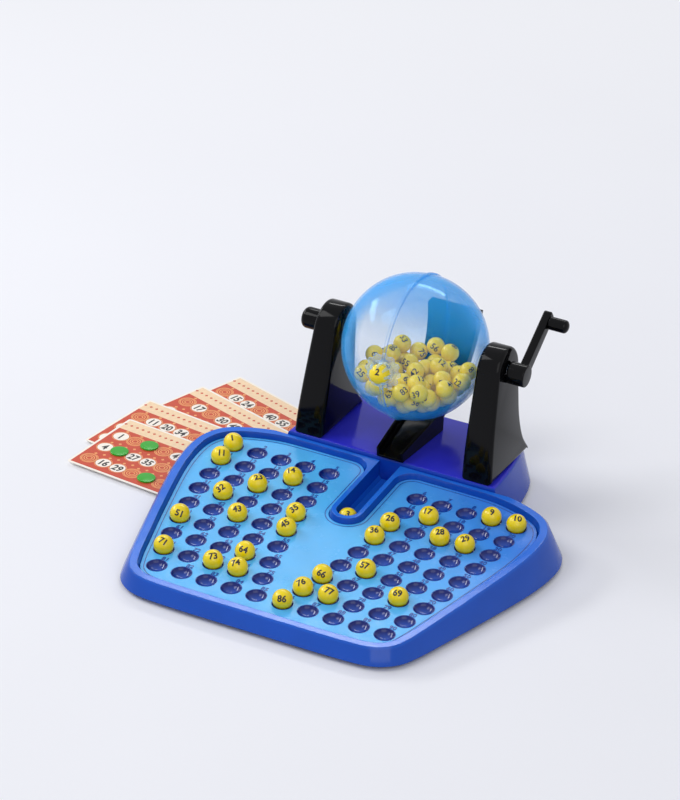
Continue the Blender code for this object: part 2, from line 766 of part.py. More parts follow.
def pile_centres():
    """Balls dropped one by one to the lowest free place in the globe."""
    flat = (GLOBE_RADIUS - GLOBE_WALL) * math.cos(math.pi / ROUND_SIDES) ** 2
    reach = flat - GAP - BALL_DIAMETER / 2 * PILE_FACET_SHARE
    spacing = BALL_DIAMETER * PILE_PACKING_SHARE
    tries = []
    for index in range(1, int(PILE_TRIES * (reach / spacing) ** 2)):
        radius = reach * math.sqrt(radical_share(index, 2))
        angle = 2 * math.pi * radical_share(index, 3)
        tries.append(Vector((radius * math.cos(angle), radius * math.sin(angle), 0)))
    centres = []
    for number in range(GLOBE_BALLS):
        best = None
        for place in tries:
            height = -math.sqrt(reach ** 2 - place.x ** 2 - place.y ** 2)
            for centre in centres:
                apart = (centre.x - place.x) ** 2 + (centre.y - place.y) ** 2
                if apart < spacing ** 2:
                    height = max(height, centre.z + math.sqrt(spacing ** 2 - apart))
            if best is None or height < best.z:
                best = Vector((place.x, place.y, height))
        centres.append(best)
    return centres


def radical_share(index, base):
    """Evenly spread share between 0 and 1 for a counter."""
    share = 0.0
    unit = 1.0
    while index:
        unit /= base
        share += unit * (index % base)
        index //= base
    return share


def globe_balls_mesh():
    """The pile as one body: the balls press into each other a little where they touch."""
    radius = BALL_DIAMETER / 2 * PILE_FACET_SHARE
    pile = None
    for centre in pile_centres():
        ball = moved(ball_mesh(radius, 1), centre)
        pile = combined(pile, ball, "UNION") if pile else ball
    return outer_shell(pile)


def hub_profile(radius, length, round_end):
    """Ring section of a hub with a blind bore over the axle stub, from the face by the upright."""
    bore = AXLE_RADIUS + GAP
    depth = AXLE_REACH + GAP
    profile = [(0, depth), (bore, depth), (bore, 0), (radius, 0)]
    if round_end:
        profile += [(radius * out, length * along) for out, along in KNOB_DOME_SHARES]
    else:
        profile += [(radius, length - ARM_EDGE), (radius - ARM_EDGE, length)]
    return profile + [(0, length)]


def knob_mesh():
    mesh = lathe(hub_profile(KNOB_RADIUS, KNOB_LENGTH, True), ROUND_SIDES)
    return moved(mesh, (-axle_face(), 0, 0), Matrix.Rotation(-math.pi / 2, 4, "Y"))


def crank_tip():
    """Place of the handle's axis about the axle, in the side view."""
    return Vector((CRANK_RADIUS * math.cos(CRANK_RISE), CRANK_RADIUS * math.sin(CRANK_RISE)))


def arm_outer_face():
    return axle_face() + ARM_STANDOFF + ARM_THICKNESS


def crank_arm_mesh():
    """Hub, arm and handle pin in one piece."""
    along = Matrix.Rotation(math.pi / 2, 4, "Y")
    hub = moved(lathe(hub_profile(HUB_RADIUS, ARM_STANDOFF + ARM_THICKNESS + ARM_EDGE, False), ROUND_SIDES),
                (axle_face(), 0, 0), along)
    rise = Matrix.Rotation(CRANK_RISE, 4, "X")
    loops = []
    start = axle_face() + ARM_STANDOFF
    for across, inset in ((start, ARM_EDGE), (start + ARM_EDGE, 0),
                          (start + ARM_THICKNESS - ARM_EDGE, 0), (start + ARM_THICKNESS, ARM_EDGE)):
        loops.append([Vector((across, point.x, point.y)) for point in offset_outline(arm_outline(), -inset)])
    arm = moved(loft(loops), turn=rise)
    tip = crank_tip()
    pin = lathe(((0, -ARM_THICKNESS / 2), (PIN_RADIUS, -ARM_THICKNESS / 2), (PIN_RADIUS, PIN_LENGTH),
                 (0, PIN_LENGTH)), SMALL_SIDES)
    pin = moved(pin, (arm_outer_face(), tip.x, tip.y), along)
    bore = lathe(((0, -OVERRUN), (AXLE_RADIUS + GAP, -OVERRUN), (AXLE_RADIUS + GAP, AXLE_REACH + GAP),
                  (0, AXLE_REACH + GAP)), ROUND_SIDES)
    bore = moved(bore, (axle_face(), 0, 0), along)
    body = combined(combined(hub, arm, "UNION"), bore)
    return combined(body, pin, "UNION")


def arm_outline():
    """Flat of the arm, along and across it, with a round hub end and a squared tip."""
    half = ARM_WIDTH / 2
    tip = ARM_TIP_WIDTH / 2
    end = CRANK_RADIUS + ARM_TIP_REACH
    outline = arc((0, 0), half, 90, 270, 6)
    outline += arc((end - tip / 2, -tip / 2), tip / 2, 270, 360, 2)
    outline += arc((end - tip / 2, tip / 2), tip / 2, 0, 90, 2)
    return outline


def handle_mesh():
    """Handle about its own axis, from the arm's outer face outward."""
    bore = PIN_RADIUS + GAP
    depth = PIN_LENGTH + GAP
    straight = HANDLE_LENGTH - HANDLE_DOME
    profile = [(0, depth), (bore, depth), (bore, GAP), (HANDLE_RADIUS - ARM_EDGE / 2, GAP),
               (HANDLE_RADIUS, GAP + ARM_EDGE / 2), (HANDLE_RADIUS, straight)]
    for angle in (30, 60):
        turn = math.radians(angle)
        profile.append((HANDLE_RADIUS * math.cos(turn), straight + HANDLE_DOME * math.sin(turn)))
    profile.append((0, HANDLE_LENGTH))
    return moved(lathe(profile, SMALL_SIDES), turn=Matrix.Rotation(math.pi / 2, 4, "Y"))


# Ball chute, about the axle

def chute_path():
    """Floor line as (y, z), its inward normal and its share of the way from spout to top."""
    front = AXLE_SETBACK + CHUTE_OVERHANG
    drop = AXLE_RISE - GAP - CHUTE_THICKNESS
    reach = math.hypot(front, drop)
    touch = math.acos(CHUTE_RADIUS / reach) - math.atan2(front, drop)
    path = []
    begin = Vector((-front, -drop))
    end = Vector((CHUTE_RADIUS * math.sin(touch), -CHUTE_RADIUS * math.cos(touch)))
    level = Vector((-math.sin(touch), math.cos(touch)))
    for step in range(4):
        path.append((begin.lerp(end, step / 4), level))
    sweep = math.pi / 2 + CHUTE_TOP_ANGLE - touch
    for step in range(11):
        angle = touch + sweep * step / 10
        place = Vector((CHUTE_RADIUS * math.sin(angle), -CHUTE_RADIUS * math.cos(angle)))
        path.append((place, -place.normalized()))
    travelled = [0.0]
    for index in range(1, len(path)):
        travelled.append(travelled[-1] + (path[index][0] - path[index - 1][0]).length)
    return [(place, normal, travelled[index] / travelled[-1])
            for index, (place, normal) in enumerate(path)]


def chute_half_width(share):
    return CHUTE_FRONT_HALF_WIDTH + (CHUTE_TOP_HALF_WIDTH - CHUTE_FRONT_HALF_WIDTH) * share


def chute_mesh():
    """Curved guard behind the globe that runs down and forward as an open trough."""
    loops = []
    for place, normal, share in chute_path():
        half = chute_half_width(share)
        inner = half - CHUTE_WALL
        section = ((half, CHUTE_WALL_HEIGHT), (half, -CHUTE_THICKNESS), (-half, -CHUTE_THICKNESS),
                   (-half, CHUTE_WALL_HEIGHT), (-inner, CHUTE_WALL_HEIGHT), (-inner, 0),
                   (inner, 0), (inner, CHUTE_WALL_HEIGHT))
        loops.append([Vector((across, place.x + normal.x * up, place.y + normal.y * up))
                      for across, up in section])
    channel = loft(loops)
    floor = -AXLE_RISE + GAP
    base = []
    for place, normal, share in chute_path():
        under = place - normal * (CHUTE_THICKNESS / 2)
        if under.x < -AXLE_SETBACK or under.x > CHUTE_BASE_REACH:
            continue
        half = chute_half_width(share) - GAP
        base.append([Vector((half, under.x, floor)), Vector((half, under.x, under.y)),
                     Vector((-half, under.x, under.y)), Vector((-half, under.x, floor))])
    return combined(channel, loft(base), "UNION")


# Cards and markers

def card_mesh():
    """One card, from its rear left corner, with its length along X."""
    outline = rounded_rectangle(CARD_LENGTH / 2, CARD_DEPTH / 2, CARD_CORNER)
    mesh = loft([at_height(outline, 0), at_height(outline, CARD_THICKNESS)])
    return moved(mesh, (CARD_LENGTH / 2, -CARD_DEPTH / 2, 0))


def marker_place(column, row):
    """Middle of a cell, from the card's rear left corner."""
    return (CARD_SIDE_MARGIN + CARD_CELL * (column + 0.5),
            -CARD_DEPTH + CARD_MARGIN + CARD_ROW * (row + 0.5), CARD_THICKNESS + GAP)


def marker_mesh():
    edge = MARKER_THICKNESS * MARKER_EDGE_SHARE
    return lathe(((0, 0), (MARKER_RADIUS, 0), (MARKER_RADIUS, MARKER_THICKNESS - edge),
                  (MARKER_RADIUS - edge, MARKER_THICKNESS), (0, MARKER_THICKNESS)), SMALL_SIDES)


# Assembly

def build():
    for thing in list(bpy.data.objects):
        bpy.data.objects.remove(thing, do_unlink=True)
    deep_blue = look("deep_blue_plastic", (0.025, 0.12, 0.55), 0.25)
    sky_blue = look("sky_blue_plastic", (0.08, 0.45, 0.88), 0.22)
    violet_blue = look("violet_blue_plastic", (0.045, 0.066, 0.58), 0.25)
    black = look("black_plastic", (0.01, 0.01, 0.012), 0.2)
    clear = look("clear_blue_plastic", (0.55, 0.8, 1.0), 0.05, 0.3)
    yellow = look("yellow_plastic", (0.9, 0.65, 0.01), 0.3)
    green = look("green_plastic", (0.03, 0.5, 0.03), 0.3)
    paper = look("printed_card", (0.75, 0.18, 0.08), 0.6)

    game = empty("game")
    tray = empty("tray_frame_origin", game, (0, 0, PLATE_HEIGHT), (TRAY_SLOPE, 0, 0))
    axle = empty("globe_axle", game, (0, AXLE_Y, AXLE_Z))

    piece("tray_frame", tray_frame_mesh(), deep_blue, tray)
    piece("cup_board", cup_board_mesh(), sky_blue, tray)
    piece("stand_base", stand_base_mesh(), violet_blue, game)
    right = upright_mesh()
    piece("left_upright", mirrored(right), black, game, (0, AXLE_Y, AXLE_Z))
    piece("right_upright", right, black, game, (0, AXLE_Y, AXLE_Z))
    piece("ball_chute", chute_mesh(), black, game, (0, AXLE_Y, AXLE_Z))
    piece("globe_balls", globe_balls_mesh(), yellow, game, (0, AXLE_Y, AXLE_Z))

    half = globe_half_mesh()
    piece("globe_left_half", mirrored(half), clear, axle)
    piece("globe_right_half", half, clear, axle)
    piece("exit_claw", claw_mesh(), clear, axle)
    held = Vector((0, -math.cos(PORT_TILT), math.sin(PORT_TILT))) * held_ball_reach()
    ball = ball_mesh(BALL_DIAMETER / 2, 2)
    piece("claw_ball", ball.copy(), yellow, axle, held)
    piece("left_knob", knob_mesh(), black, axle)
    piece("crank_arm", crank_arm_mesh(), black, axle)
    tip = crank_tip()
    piece("crank_handle", handle_mesh(), black, axle, (arm_outer_face(), tip.x, tip.y))

    places = cup_places()
    seat = BALL_DIAMETER / 2 + GAP - CUP_DEPTH
    for number in BALL_NUMBERS:
        place = places[number] + Vector((0, 0, seat))
        piece("ball_%02d" % number, ball.copy(), yellow, tray, place)
    channel_floor = -CHANNEL_DEPTH + GAP + BALL_DIAMETER / 2
    piece("ball_%02d" % CHANNEL_NUMBER, ball.copy(), yellow, tray, (0, CHANNEL_END, channel_floor))

    cards = []
    for index, (across, back) in enumerate(CARD_PLACE_SHARES):
        level = (len(CARD_PLACE_SHARES) - 1 - index) * (CARD_THICKNESS + GAP)
        corner = (across * CARD_LENGTH - PLATE_HALF_WIDTH, back * CARD_DEPTH, level)
        turn = (0, 0, math.radians(CARD_TURNS_IN_DEGREES[index]))
        cards.append(piece("card_%d" % (index + 1), card_mesh(), paper, game, corner, turn))
    for index, (column, row) in enumerate(MARKER_CELLS):
        piece("marker_%d" % (index + 1), marker_mesh(), green, cards[0], marker_place(column, row))
    centre_on_base(game)


def centre_on_base(holder):
    """Put the origin under the middle of the whole game."""
    bpy.context.view_layer.update()
    corners = []
    for thing in bpy.context.scene.objects:
        if thing.type == "MESH":
            corners += [thing.matrix_world @ vertex.co for vertex in thing.data.vertices]
    low = [min(corner[axis] for corner in corners) for axis in range(3)]
    high = [max(corner[axis] for corner in corners) for axis in range(3)]
    holder.location = (-(low[0] + high[0]) / 2, -(low[1] + high[1]) / 2, -low[2])


build()
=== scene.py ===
"""Looks of the bingo game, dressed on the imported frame, with its studio and camera."""

import json
import math
import random

import bmesh
import bpy
from mathutils import Matrix, Vector


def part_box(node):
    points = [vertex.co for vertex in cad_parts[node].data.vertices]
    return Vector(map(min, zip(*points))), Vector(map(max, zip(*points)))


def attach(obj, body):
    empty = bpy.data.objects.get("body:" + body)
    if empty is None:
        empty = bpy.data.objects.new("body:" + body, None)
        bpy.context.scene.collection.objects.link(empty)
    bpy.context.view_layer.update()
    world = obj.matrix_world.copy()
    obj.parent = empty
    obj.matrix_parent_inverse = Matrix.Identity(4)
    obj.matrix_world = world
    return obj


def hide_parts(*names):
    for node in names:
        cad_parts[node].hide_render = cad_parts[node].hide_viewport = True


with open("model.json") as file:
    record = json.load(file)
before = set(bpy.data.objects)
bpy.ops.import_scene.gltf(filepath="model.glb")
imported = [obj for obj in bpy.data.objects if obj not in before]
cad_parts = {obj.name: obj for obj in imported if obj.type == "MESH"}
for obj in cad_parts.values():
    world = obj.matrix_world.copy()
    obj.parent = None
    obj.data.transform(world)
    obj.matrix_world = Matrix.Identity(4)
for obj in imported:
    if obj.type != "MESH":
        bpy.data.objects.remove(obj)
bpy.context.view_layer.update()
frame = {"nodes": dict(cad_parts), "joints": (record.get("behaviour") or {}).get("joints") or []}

# Places that the frame gives
JOINTS = {joint["name"]: joint for joint in frame["joints"]}
AXLE = Vector(JOINTS["globe_spin"]["pos_m"])
HANDLE_ROOT = Vector(JOINTS["handle_spin"]["pos_m"])
AT_AXLE = Matrix.Translation(AXLE)
ALONG_X = Matrix.Rotation(math.pi / 2, 4, "Y")

# Clearance between neighbouring pieces, and how far a cutter runs past what it cuts
GAP = 0.0003
OVERRUN = 0.001

# Tray, in its own tilted frame: origin in the rear row of cups, in the tray's middle
AXLE_BEHIND = 0.0581
DESIGN = Matrix.Translation((AXLE.x, AXLE.y - AXLE_BEHIND, 0))
PLATE_HEIGHT = 0.023
TRAY_SLOPE = math.radians(4)
TRAY = DESIGN @ Matrix.Translation((0, 0, PLATE_HEIGHT)) @ Matrix.Rotation(TRAY_SLOPE, 4, "X")
PLATE_HALF_WIDTH = 0.1285
PLATE_REAR = 0.0227
PLATE_LENGTH = 0.1947
PLATE_EDGE_SHARES = (
    (0.0, 1.0), (0.545, 0.9964), (0.669, 0.986), (0.7315, 0.956), (0.768, 0.902),
    (0.817, 0.784), (0.887, 0.605), (0.986, 0.312), (1.0, 0.194), (0.988, 0.132),
    (0.942, 0.078), (0.848, 0.041), (0.661, 0.006), (0.467, 0.0))
BOARD_THICKNESS = 0.0022
LEDGE_WIDTH = 0.0032
LEDGE_THICKNESS = 0.0018
RIM_HEIGHT = 0.004
RIM_DRAFT = 0.0016
RIM_WIDTH = 0.0068
SHOULDER_DROP = 0.0016
SHOULDER_WIDTH = 0.0086
SKIRT_DRAFT_SHARE = 0.42
SKIRT_WALL = 0.002
TRAY_EDGE_RADIUS = 0.0014
TRAY_REAR = 0.0268
SETTLE_STEPS = 3
FOOT_HEIGHT = 0.003
FOOT_RADIUS = 0.003
TRAY_FOOT_POINTS = (1, 6, 13)
TRAY_FOOT_REACH_SHARE = 0.985
CHANNEL_HALF_WIDTH = 0.008
CHANNEL_DEPTH = 0.0103
CHANNEL_FLOOR_CHAMFER = 0.0022
CHANNEL_WALL = 0.0022
CHANNEL_END = -0.0385
ISLAND_HALF_WIDTH = 0.013
ISLAND_FILLET = 0.013

# Cups and balls
BALL_RADIUS = 0.007
CUP_RIM_RADIUS = 0.0066
CUP_DEPTH = 0.0038
CUP_LIP = 0.0006
CUP_MOUTH = CUP_RIM_RADIUS + CUP_LIP
CUP_STEPS = 8
COLUMN_PITCH = 0.019
ROW_PITCH = 0.01932
INNER_COLUMN_REAR = 0.0342
INNER_COLUMN_SWEEP = 0.0243
SWEEP_POWER = 1.86
COLUMNS_PER_SIDE = 5
ROWS = 9
BOARD_LINE_INSET = 0.0024
BOARD_LINE_WIDTH = 0.0006
CUP_LINE_WIDTH = 0.00025
CUP_NUMBER_HEIGHT = 0.0038
CUP_NUMBER_RISE = 0.00025
CUP_NUMBER_PLACE = Vector((0.0016, 0.0093, 0))
BALL_NUMBER_HEIGHT = 0.0044
BALL_NUMBER_BOLDNESS = 0.05
BALL_NUMBER_STEP = 0.0008
PRINT_THICKNESS = 0.00004

# Stand
STAND_FRONT = 0.0271
DECK_HEIGHT = 0.032
DECK_HALF_WIDTH = 0.081
DECK_DEPTH = 0.07701
DECK_EDGE_SHARES = ((1.0, 0.0), (0.994, 0.2), (0.969, 0.47), (0.914, 0.78), (0.85, 0.93),
                    (0.74, 0.99), (0.0, 1.0))
DECK_FLARE = 0.0085
DECK_EDGE_RADIUS = 0.0025
DECK_WALL = 0.0025
STAND_FOOT_RADIUS = 0.005
STAND_FOOT_SHARES = ((0.55, 0.16), (0.55, 0.84))
AXLE_RISE = 0.0755
AXLE_SETBACK = 0.031
UPRIGHT_INNER = 0.054
UPRIGHT_BASE_THICKNESS = 0.023
UPRIGHT_TOP_THICKNESS = 0.017
UPRIGHT_TOP_RADIUS = 0.0175
UPRIGHT_TOP_DEGREES = (172, 8)
UPRIGHT_FRONT_SHARES = ((0.0, -0.40), (0.18, -0.39), (0.42, -0.355), (0.72, -0.295))
UPRIGHT_REAR_SHARES = ((0.72, 0.238), (0.42, 0.262), (0.18, 0.34), (0.0, 0.475))
UPRIGHT_EDGE_RADIUS = 0.0028

# Globe and claw
GLOBE_RADIUS = 0.052
GLOBE_WALL = 0.0015
GLOBE_STEPS = 24
SEAM_HALF_GAP = 0.00015
SEAM_LIP_HEIGHT = 0.001
SEAM_LIP_WIDTH = 0.0012
SEAM_LIP_EDGE = 0.0003
AXLE_RADIUS = 0.005
AXLE_REACH = 0.008
STUB_FILLET_SINK = AXLE_RADIUS / 10
PORT_TILT = math.radians(4.5)
PORT_RADIUS = 0.00775
CLAW_FLANGE_RADIUS = 0.0135
CLAW_NOTCH = 0.0018
CLAW_NOTCHES = 12
CLAW_FLANGE_THICKNESS = 0.0012
CLAW_COLLAR_WALL = 0.0013
CLAW_COLLAR_HEIGHT = 0.0032
CLAW_BORE = 0.0073
CLAW_REACH = 0.0105
CLAW_TIP_RADIUS = 0.0057
CLAW_FINGERS = 8
CLAW_FINGER_WIDTH = 0.0022
CLAW_FINGER_THICKNESS = 0.0012
FINGER_SETBACK = GAP / 3
FINGER_STEPS = 8
FINGER_STRAIGHT_SHARE = 0.35
FINGER_LEAN_POWER = 1.5
FINGER_TAPER_SHARE = 0.45
GLOBE_BALLS = 56
PILE_SPACING = 0.01232
PILE_BALL_RADIUS = 0.0065
PILE_REACH = 0.04136
PILE_TRIES = 58
PILE_NUMBER_STEP = 0.001
PILE_SEED = 7
PILE_NUMBER_TURNS = ((-0.6, 0.6), (-0.4, 0.8), (-70, 70))

# Crank and knob
HUB_RADIUS = 0.008
HUB_DOME_POINTS = 9
KNOB_LENGTH = 0.0145
KNOB_RADIUS = 0.0078
KNOB_DOME = 0.004
ARM_THICKNESS = 0.006
ARM_WIDTH = 0.0098
ARM_TIP_WIDTH = 0.0086
ARM_TIP_REACH = 0.0072
ARM_EDGE = 0.001
ARM_STANDOFF = 0.006
CRANK_RADIUS = 0.044
CRANK_RISE = math.radians(36)
HANDLE_RADIUS = 0.00475
HANDLE_LENGTH = 0.0145
HANDLE_DOME = 0.003
PIN_RADIUS = 0.002
PIN_LENGTH = 0.0105

# Ball chute
CHUTE_RADIUS = 0.067
CHUTE_THICKNESS = 0.0018
CHUTE_WALL = 0.0018
CHUTE_WALL_HEIGHT = 0.006
CHUTE_FRONT_HALF_WIDTH = 0.0102
CHUTE_TOP_HALF_WIDTH = 0.020
CHUTE_OVERHANG = 0.0015
CHUTE_TOP_ANGLE = math.radians(3)
CHUTE_BASE_REACH = 0.026
CHUTE_EDGE_RADIUS = 0.0007
CHUTE_RUN_STEPS = 8
CHUTE_BEND_STEPS = 40

# Cards and markers
CARD_LENGTH = 0.120
CARD_DEPTH = 0.077
CARD_THICKNESS = 0.0004
CARD_GAP = 0.0003
CARD_PLACE_SHARES = ((-0.685, 0.387), (-0.703, 0.821), (-0.515, 1.340), (-0.382, 1.713))
CARD_TURNS_IN_DEGREES = (-6, -8, -18, -19)
CARD_MARGIN = 0.003
CARD_SIDE_MARGIN = 0.0042
CARD_CELL = 0.0124
CARD_ROW = 0.0195
CARD_BORDER = 0.0018
CARD_DISC_RADIUS = 0.0057
CARD_NUMBER_HEIGHT = 0.0068
CARD_NUMBER_BOLDNESS = 0.045
CARD_NUMBER_WIDTH_SHARE = 0.8
CARD_DIAMOND_RADIUS = 0.00132
CARD_DIAMOND_RISE_SHARE = 0.42
CARD_HEADER_DIAMONDS = 24
CARD_HEADER_MIDDLE_SHARE = 0.52
CARD_RING_GAP = 0.00048
CARD_RING_WIDTH = 0.00048
ROSETTE_LINE = 0.00072
ROSETTE_SHARES = (1.02, 0.72, 0.42)
PRINT_STEP = 0.00004
MARKER_RADIUS = 0.0066
MARKER_THICKNESS = 0.001
MARKER_SOLE_EDGE = 0.0002
MARKER_TOP_EDGE = 0.0003
MARKER_CELLS = ((2, 2), (1, 1), (4, 0))
CARD_FINISHES = ("card_white", "card_red", "card_orange", "ink", "card_cream")
CARD_NUMBERS = (
    ((1, 0, 26, 0, 41, 0, 63, 0, 80),
     (4, 12, 27, 35, 0, 52, 0, 71, 0),
     (0, 16, 29, 0, 44, 0, 66, 0, 85)),
    ((0, 11, 20, 34, 0, 0, 60, 0, 82),
     (2, 0, 25, 0, 48, 53, 0, 70, 0),
     (5, 0, 0, 38, 0, 57, 0, 76, 88)),
    ((0, 17, 0, 30, 49, 0, 61, 78, 0),
     (3, 0, 22, 0, 0, 54, 0, 73, 81),
     (8, 12, 0, 39, 0, 0, 67, 0, 90)),
    ((0, 15, 24, 0, 40, 55, 0, 0, 83),
     (6, 0, 28, 33, 0, 0, 64, 75, 0),
     (0, 19, 0, 37, 46, 0, 68, 0, 89)))

# Where each ball's number shows: across and up from its middle in radii, and its turn in degrees
NUMBER_PLACES = {
    1: (-0.1, 0.5, 10), 11: (0.1, 0.35, -5), 14: (-0.2, 0.68, 10), 23: (0.1, 0.7, 5),
    32: (-0.25, 0.32, 35), 43: (0.0, 0.45, 5), 35: (-0.2, 0.42, 35), 45: (-0.15, 0.42, 35),
    51: (0.0, 0.05, -20), 64: (-0.15, 0.2, -15), 71: (0.0, 0.4, -30), 73: (0.05, 0.42, 5),
    74: (-0.2, 0.5, 10), 86: (-0.05, 0.1, -5), 76: (-0.2, 0.5, 20), 66: (-0.1, 0.1, -25),
    77: (0.1, 0.4, -25), 57: (-0.15, 0.4, -15), 36: (-0.05, 0.6, 0), 26: (0.05, 0.45, -10),
    17: (-0.15, 0.54, -10), 28: (0.0, 0.55, 0), 29: (0.0, 0.6, 10), 9: (0.04, 0.5, -10),
    10: (0.06, 0.6, -10), 69: (-0.1, 0.43, -10), 3: (0.0, 0.4, -15)}
CLAW_NUMBER = 2
CLAW_NUMBER_PLACE = (-0.2, 0.2, -10)
LEAST_NUMBER_DEPTH = 0.05

# Meshes and figures
WELD_DISTANCE = 0.000005
FLAT_DEGREES = 0.5
FIGURE_HEIGHT_SHARE = 0.7
FIGURE_STEPS = 3

# Pairs of knots that each level of a spline lies between
SPLINE_SPANS = (((0, 1), (1, 2), (2, 3)), ((0, 2), (1, 3)), ((1, 2),))

# Camera, with the picture taken as this many pixels high
CAMERA_AIM = AXLE + Vector((-0.07893, 0.04758, -0.0875))
CAMERA_AZIMUTH = math.radians(25.49)
CAMERA_ELEVATION = math.radians(28.58)
CAMERA_ROLL = math.radians(2.81)
CAMERA_DISTANCE = 2.885
PICTURE_HEIGHT = 800
FOCAL_LENGTH_IN_PIXELS = 3975
SENSOR = 36
CLIP_END = 30

# Light, with each lamp's place, the height it aims at over the middle, its size and its watts
WORLD_LIGHT = 0.48
BACKDROP_LIGHT = 0.97
FADE_FROM = 0.45
FADE_TO = 1.3
FLOOR_REACH = 8
FLOOR_DROP = 0.0002
LAMPS = {
    "key": ((-1.4, -0.9, 2.2), 0.03, (1.0, 1.0), 14.5),
    "softbox": ((-2.2, 0.1, 1.3), 0.06, (1.5, 0.36), 20),
    "fill": ((1.5, -2.2, 2.0), 0.03, (2.6, 2.6), 30),
    "rear": ((-0.4, 1.9, 1.9), 0.06, (1.7, 0.25), 12)}

# Surfaces
MOULD_EDGE = 0.0006
MOULD_BUMP = 0.00004
MOULD_BUMP_STRENGTH = 0.35
FIBRE_BUMP = 0.00003
FIBRE_BUMP_STRENGTH = 0.2
PLASTIC_IOR = 1.5
SHELL_IOR = 2.0
# Painted reflection: how far up and back the shell's veil thickens.
REFLECTION_VEIL_DEPTH = 0.045
REFLECTION_VEIL_REAR_WEIGHT = 0.8
VEIL_EDGE_FROM = 0.33
VEIL_EDGE_BLEND = 0.45
# Painted shade: where the board darkens towards its rear right.
BOARD_SHADE_FROM = 0.02
BOARD_SHADE_TO = 0.17
NOISE_LOW = 0.3
NOISE_HIGH = 0.7

# Colours
# Painted light and shade on the tray: its faces that look up are lighter and its steep faces darker.
TRAY_SHADED_SIDE_BLUE = "0A4CB6"
TRAY_LIT_TOP_BLUE = "206EE0"
SKY_BLUE = "56B8F8"
# Painted shade: the board darkens to this towards its rear right.
SKY_BLUE_SHADED_REAR = "3B82E8"
# Painted shade in the cups: navy on their steep walls, a lighter blue on their floors.
CUP_SHADED_WALL_BLUE = "091E72"
CUP_SHADED_FLOOR_BLUE = "1E4CB0"
# Painted shade: darker blue on the raised numbers, cup lines and plate line.
RELIEF_SHADE_BLUE = "1248A4"
# Painted light and shade on the deck: its top is lighter and its steep sides darker.
DECK_LIT_TOP_VIOLET = "3032D0"
DECK_SHADED_SIDE_BLUE = "0E3FB0"
BLACK = "060608"
YELLOW = "F7DB0C"
INK = "1E1512"
SHELL_BLUE = "28B0FF"
CLAW_BLUE = "C4E8FF"
SHELL_GLOSS = "8CCFFF"
CARD_WHITE = "FBF4E8"
CARD_CREAM = "F5D6AE"
CARD_RED = "C84019"
CARD_ORANGE = "EFA766"
CHIP_GREEN = "1DA90F"
FLOOR = "F1F2F7"


# Shader helpers

def linear(code):
    """Linear colour of a six-digit sRGB code."""
    channels = []
    for start in (0, 2, 4):
        value = int(code[start:start + 2], 16) / 255
        channels.append(value / 12.92 if value <= 0.04045 else ((value + 0.055) / 1.055) ** 2.4)
    return (*channels, 1)


def fill(tree, node, sockets):
    """Give each of a node's inputs its value, or a link where the value is another node's output."""
    for socket, value in sockets.items():
        if isinstance(value, bpy.types.NodeSocket):
            tree.links.new(value, node.inputs[socket])
        else:
            node.inputs[socket].default_value = value


def outputs(tree, kind, sockets=None, **settings):
    """Outputs of a new shader node with these inputs and settings."""
    node = tree.nodes.new("ShaderNode" + kind)
    for name, setting in settings.items():
        setattr(node, name, setting)
    fill(tree, node, sockets or {})
    return node.outputs


def worked(tree, operation, *values):
    """Result of a sum or other operation on values or outputs."""
    return outputs(tree, "Math", dict(enumerate(values)), operation=operation)[0]


def ranged(tree, value, from_low, from_high, low=0, high=1):
    """The value carried over from one range to another."""
    sockets = {"Value": value, "From Min": from_low, "From Max": from_high, "To Min": low, "To Max": high}
    return outputs(tree, "MapRange", sockets)["Result"]


def axes(tree, vector):
    """The X, Y and Z outputs of a vector."""
    return outputs(tree, "SeparateXYZ", {"Vector": vector})


def noise(tree, scale, detail):
    """Noise over the object's own space."""
    place = outputs(tree, "TexCoord")["Object"]
    return outputs(tree, "TexNoise", {"Vector": place, "Scale": scale, "Detail": detail})["Fac"]


def noise_between(tree, scale, low, high):
    return ranged(tree, noise(tree, scale, detail=3), NOISE_LOW, NOISE_HIGH, low, high)


def mottled(tree, colour, spread, scale):
    """The colour with a slight variation of its lightness, as moulded plastic has."""
    value = noise_between(tree, scale, 1 - spread, 1 + spread)
    return outputs(tree, "HueSaturation", {"Color": colour, "Value": value})["Color"]


def blended(tree, one, two, share):
    """Colour between two, with the second where the share is 1."""
    sockets = {"A": linear(one), "B": linear(two), "Factor": share}
    return outputs(tree, "Mix", sockets, data_type="RGBA")["Result"]


def uneven(tree, scale, height, strength, **normal):
    """Surface normal with a fine unevenness."""
    sockets = {"Height": noise(tree, scale, detail=2), "Distance": height, "Strength": strength}
    return outputs(tree, "Bump", {**sockets, **normal})["Normal"]


def moulded(tree, edge, scale, height=MOULD_BUMP):
    """Surface normal with rounded edges of this radius, under a fine moulded unevenness."""
    round_edge = outputs(tree, "Bevel", {"Radius": edge}, samples=6)["Normal"]
    return uneven(tree, scale, height, MOULD_BUMP_STRENGTH, Normal=round_edge)


def new_material(name, colour, roughness):
    """A material with its node tree and its shader, for the finish to build on."""
    made = bpy.data.materials.new(name)
    made.use_nodes = True
    tree = made.node_tree
    shader = tree.nodes["Principled BSDF"]
    fill(tree, shader, {"Base Color": linear(colour), "Roughness": roughness})
    return made, tree, shader


# Finishes

def plastic(name, colour, roughness, edge, spread=0.05, bump=MOULD_BUMP, specular=0.5,
            side=None, slopes=None):
    """Moulded plastic. With a side colour, steep faces have it and faces that look up have the other, a
    painted light and shade by which way each face points.
    """
    made, tree, shader = new_material(name, colour, roughness)
    base = linear(colour)
    if side:
        # Painted light and shade: the colour follows how far the face's normal points up.
        upward = axes(tree, outputs(tree, "NewGeometry")["Normal"])["Z"]
        base = blended(tree, side, colour, ranged(tree, upward, *slopes))
    fill(tree, shader, {
        "IOR": PLASTIC_IOR,
        "Specular IOR Level": specular,
        "Base Color": mottled(tree, base, spread, scale=35),
        "Roughness": noise_between(tree, scale=90, low=roughness * 0.8, high=roughness * 1.25),
        "Normal": moulded(tree, edge, scale=160, height=bump)})
    return made


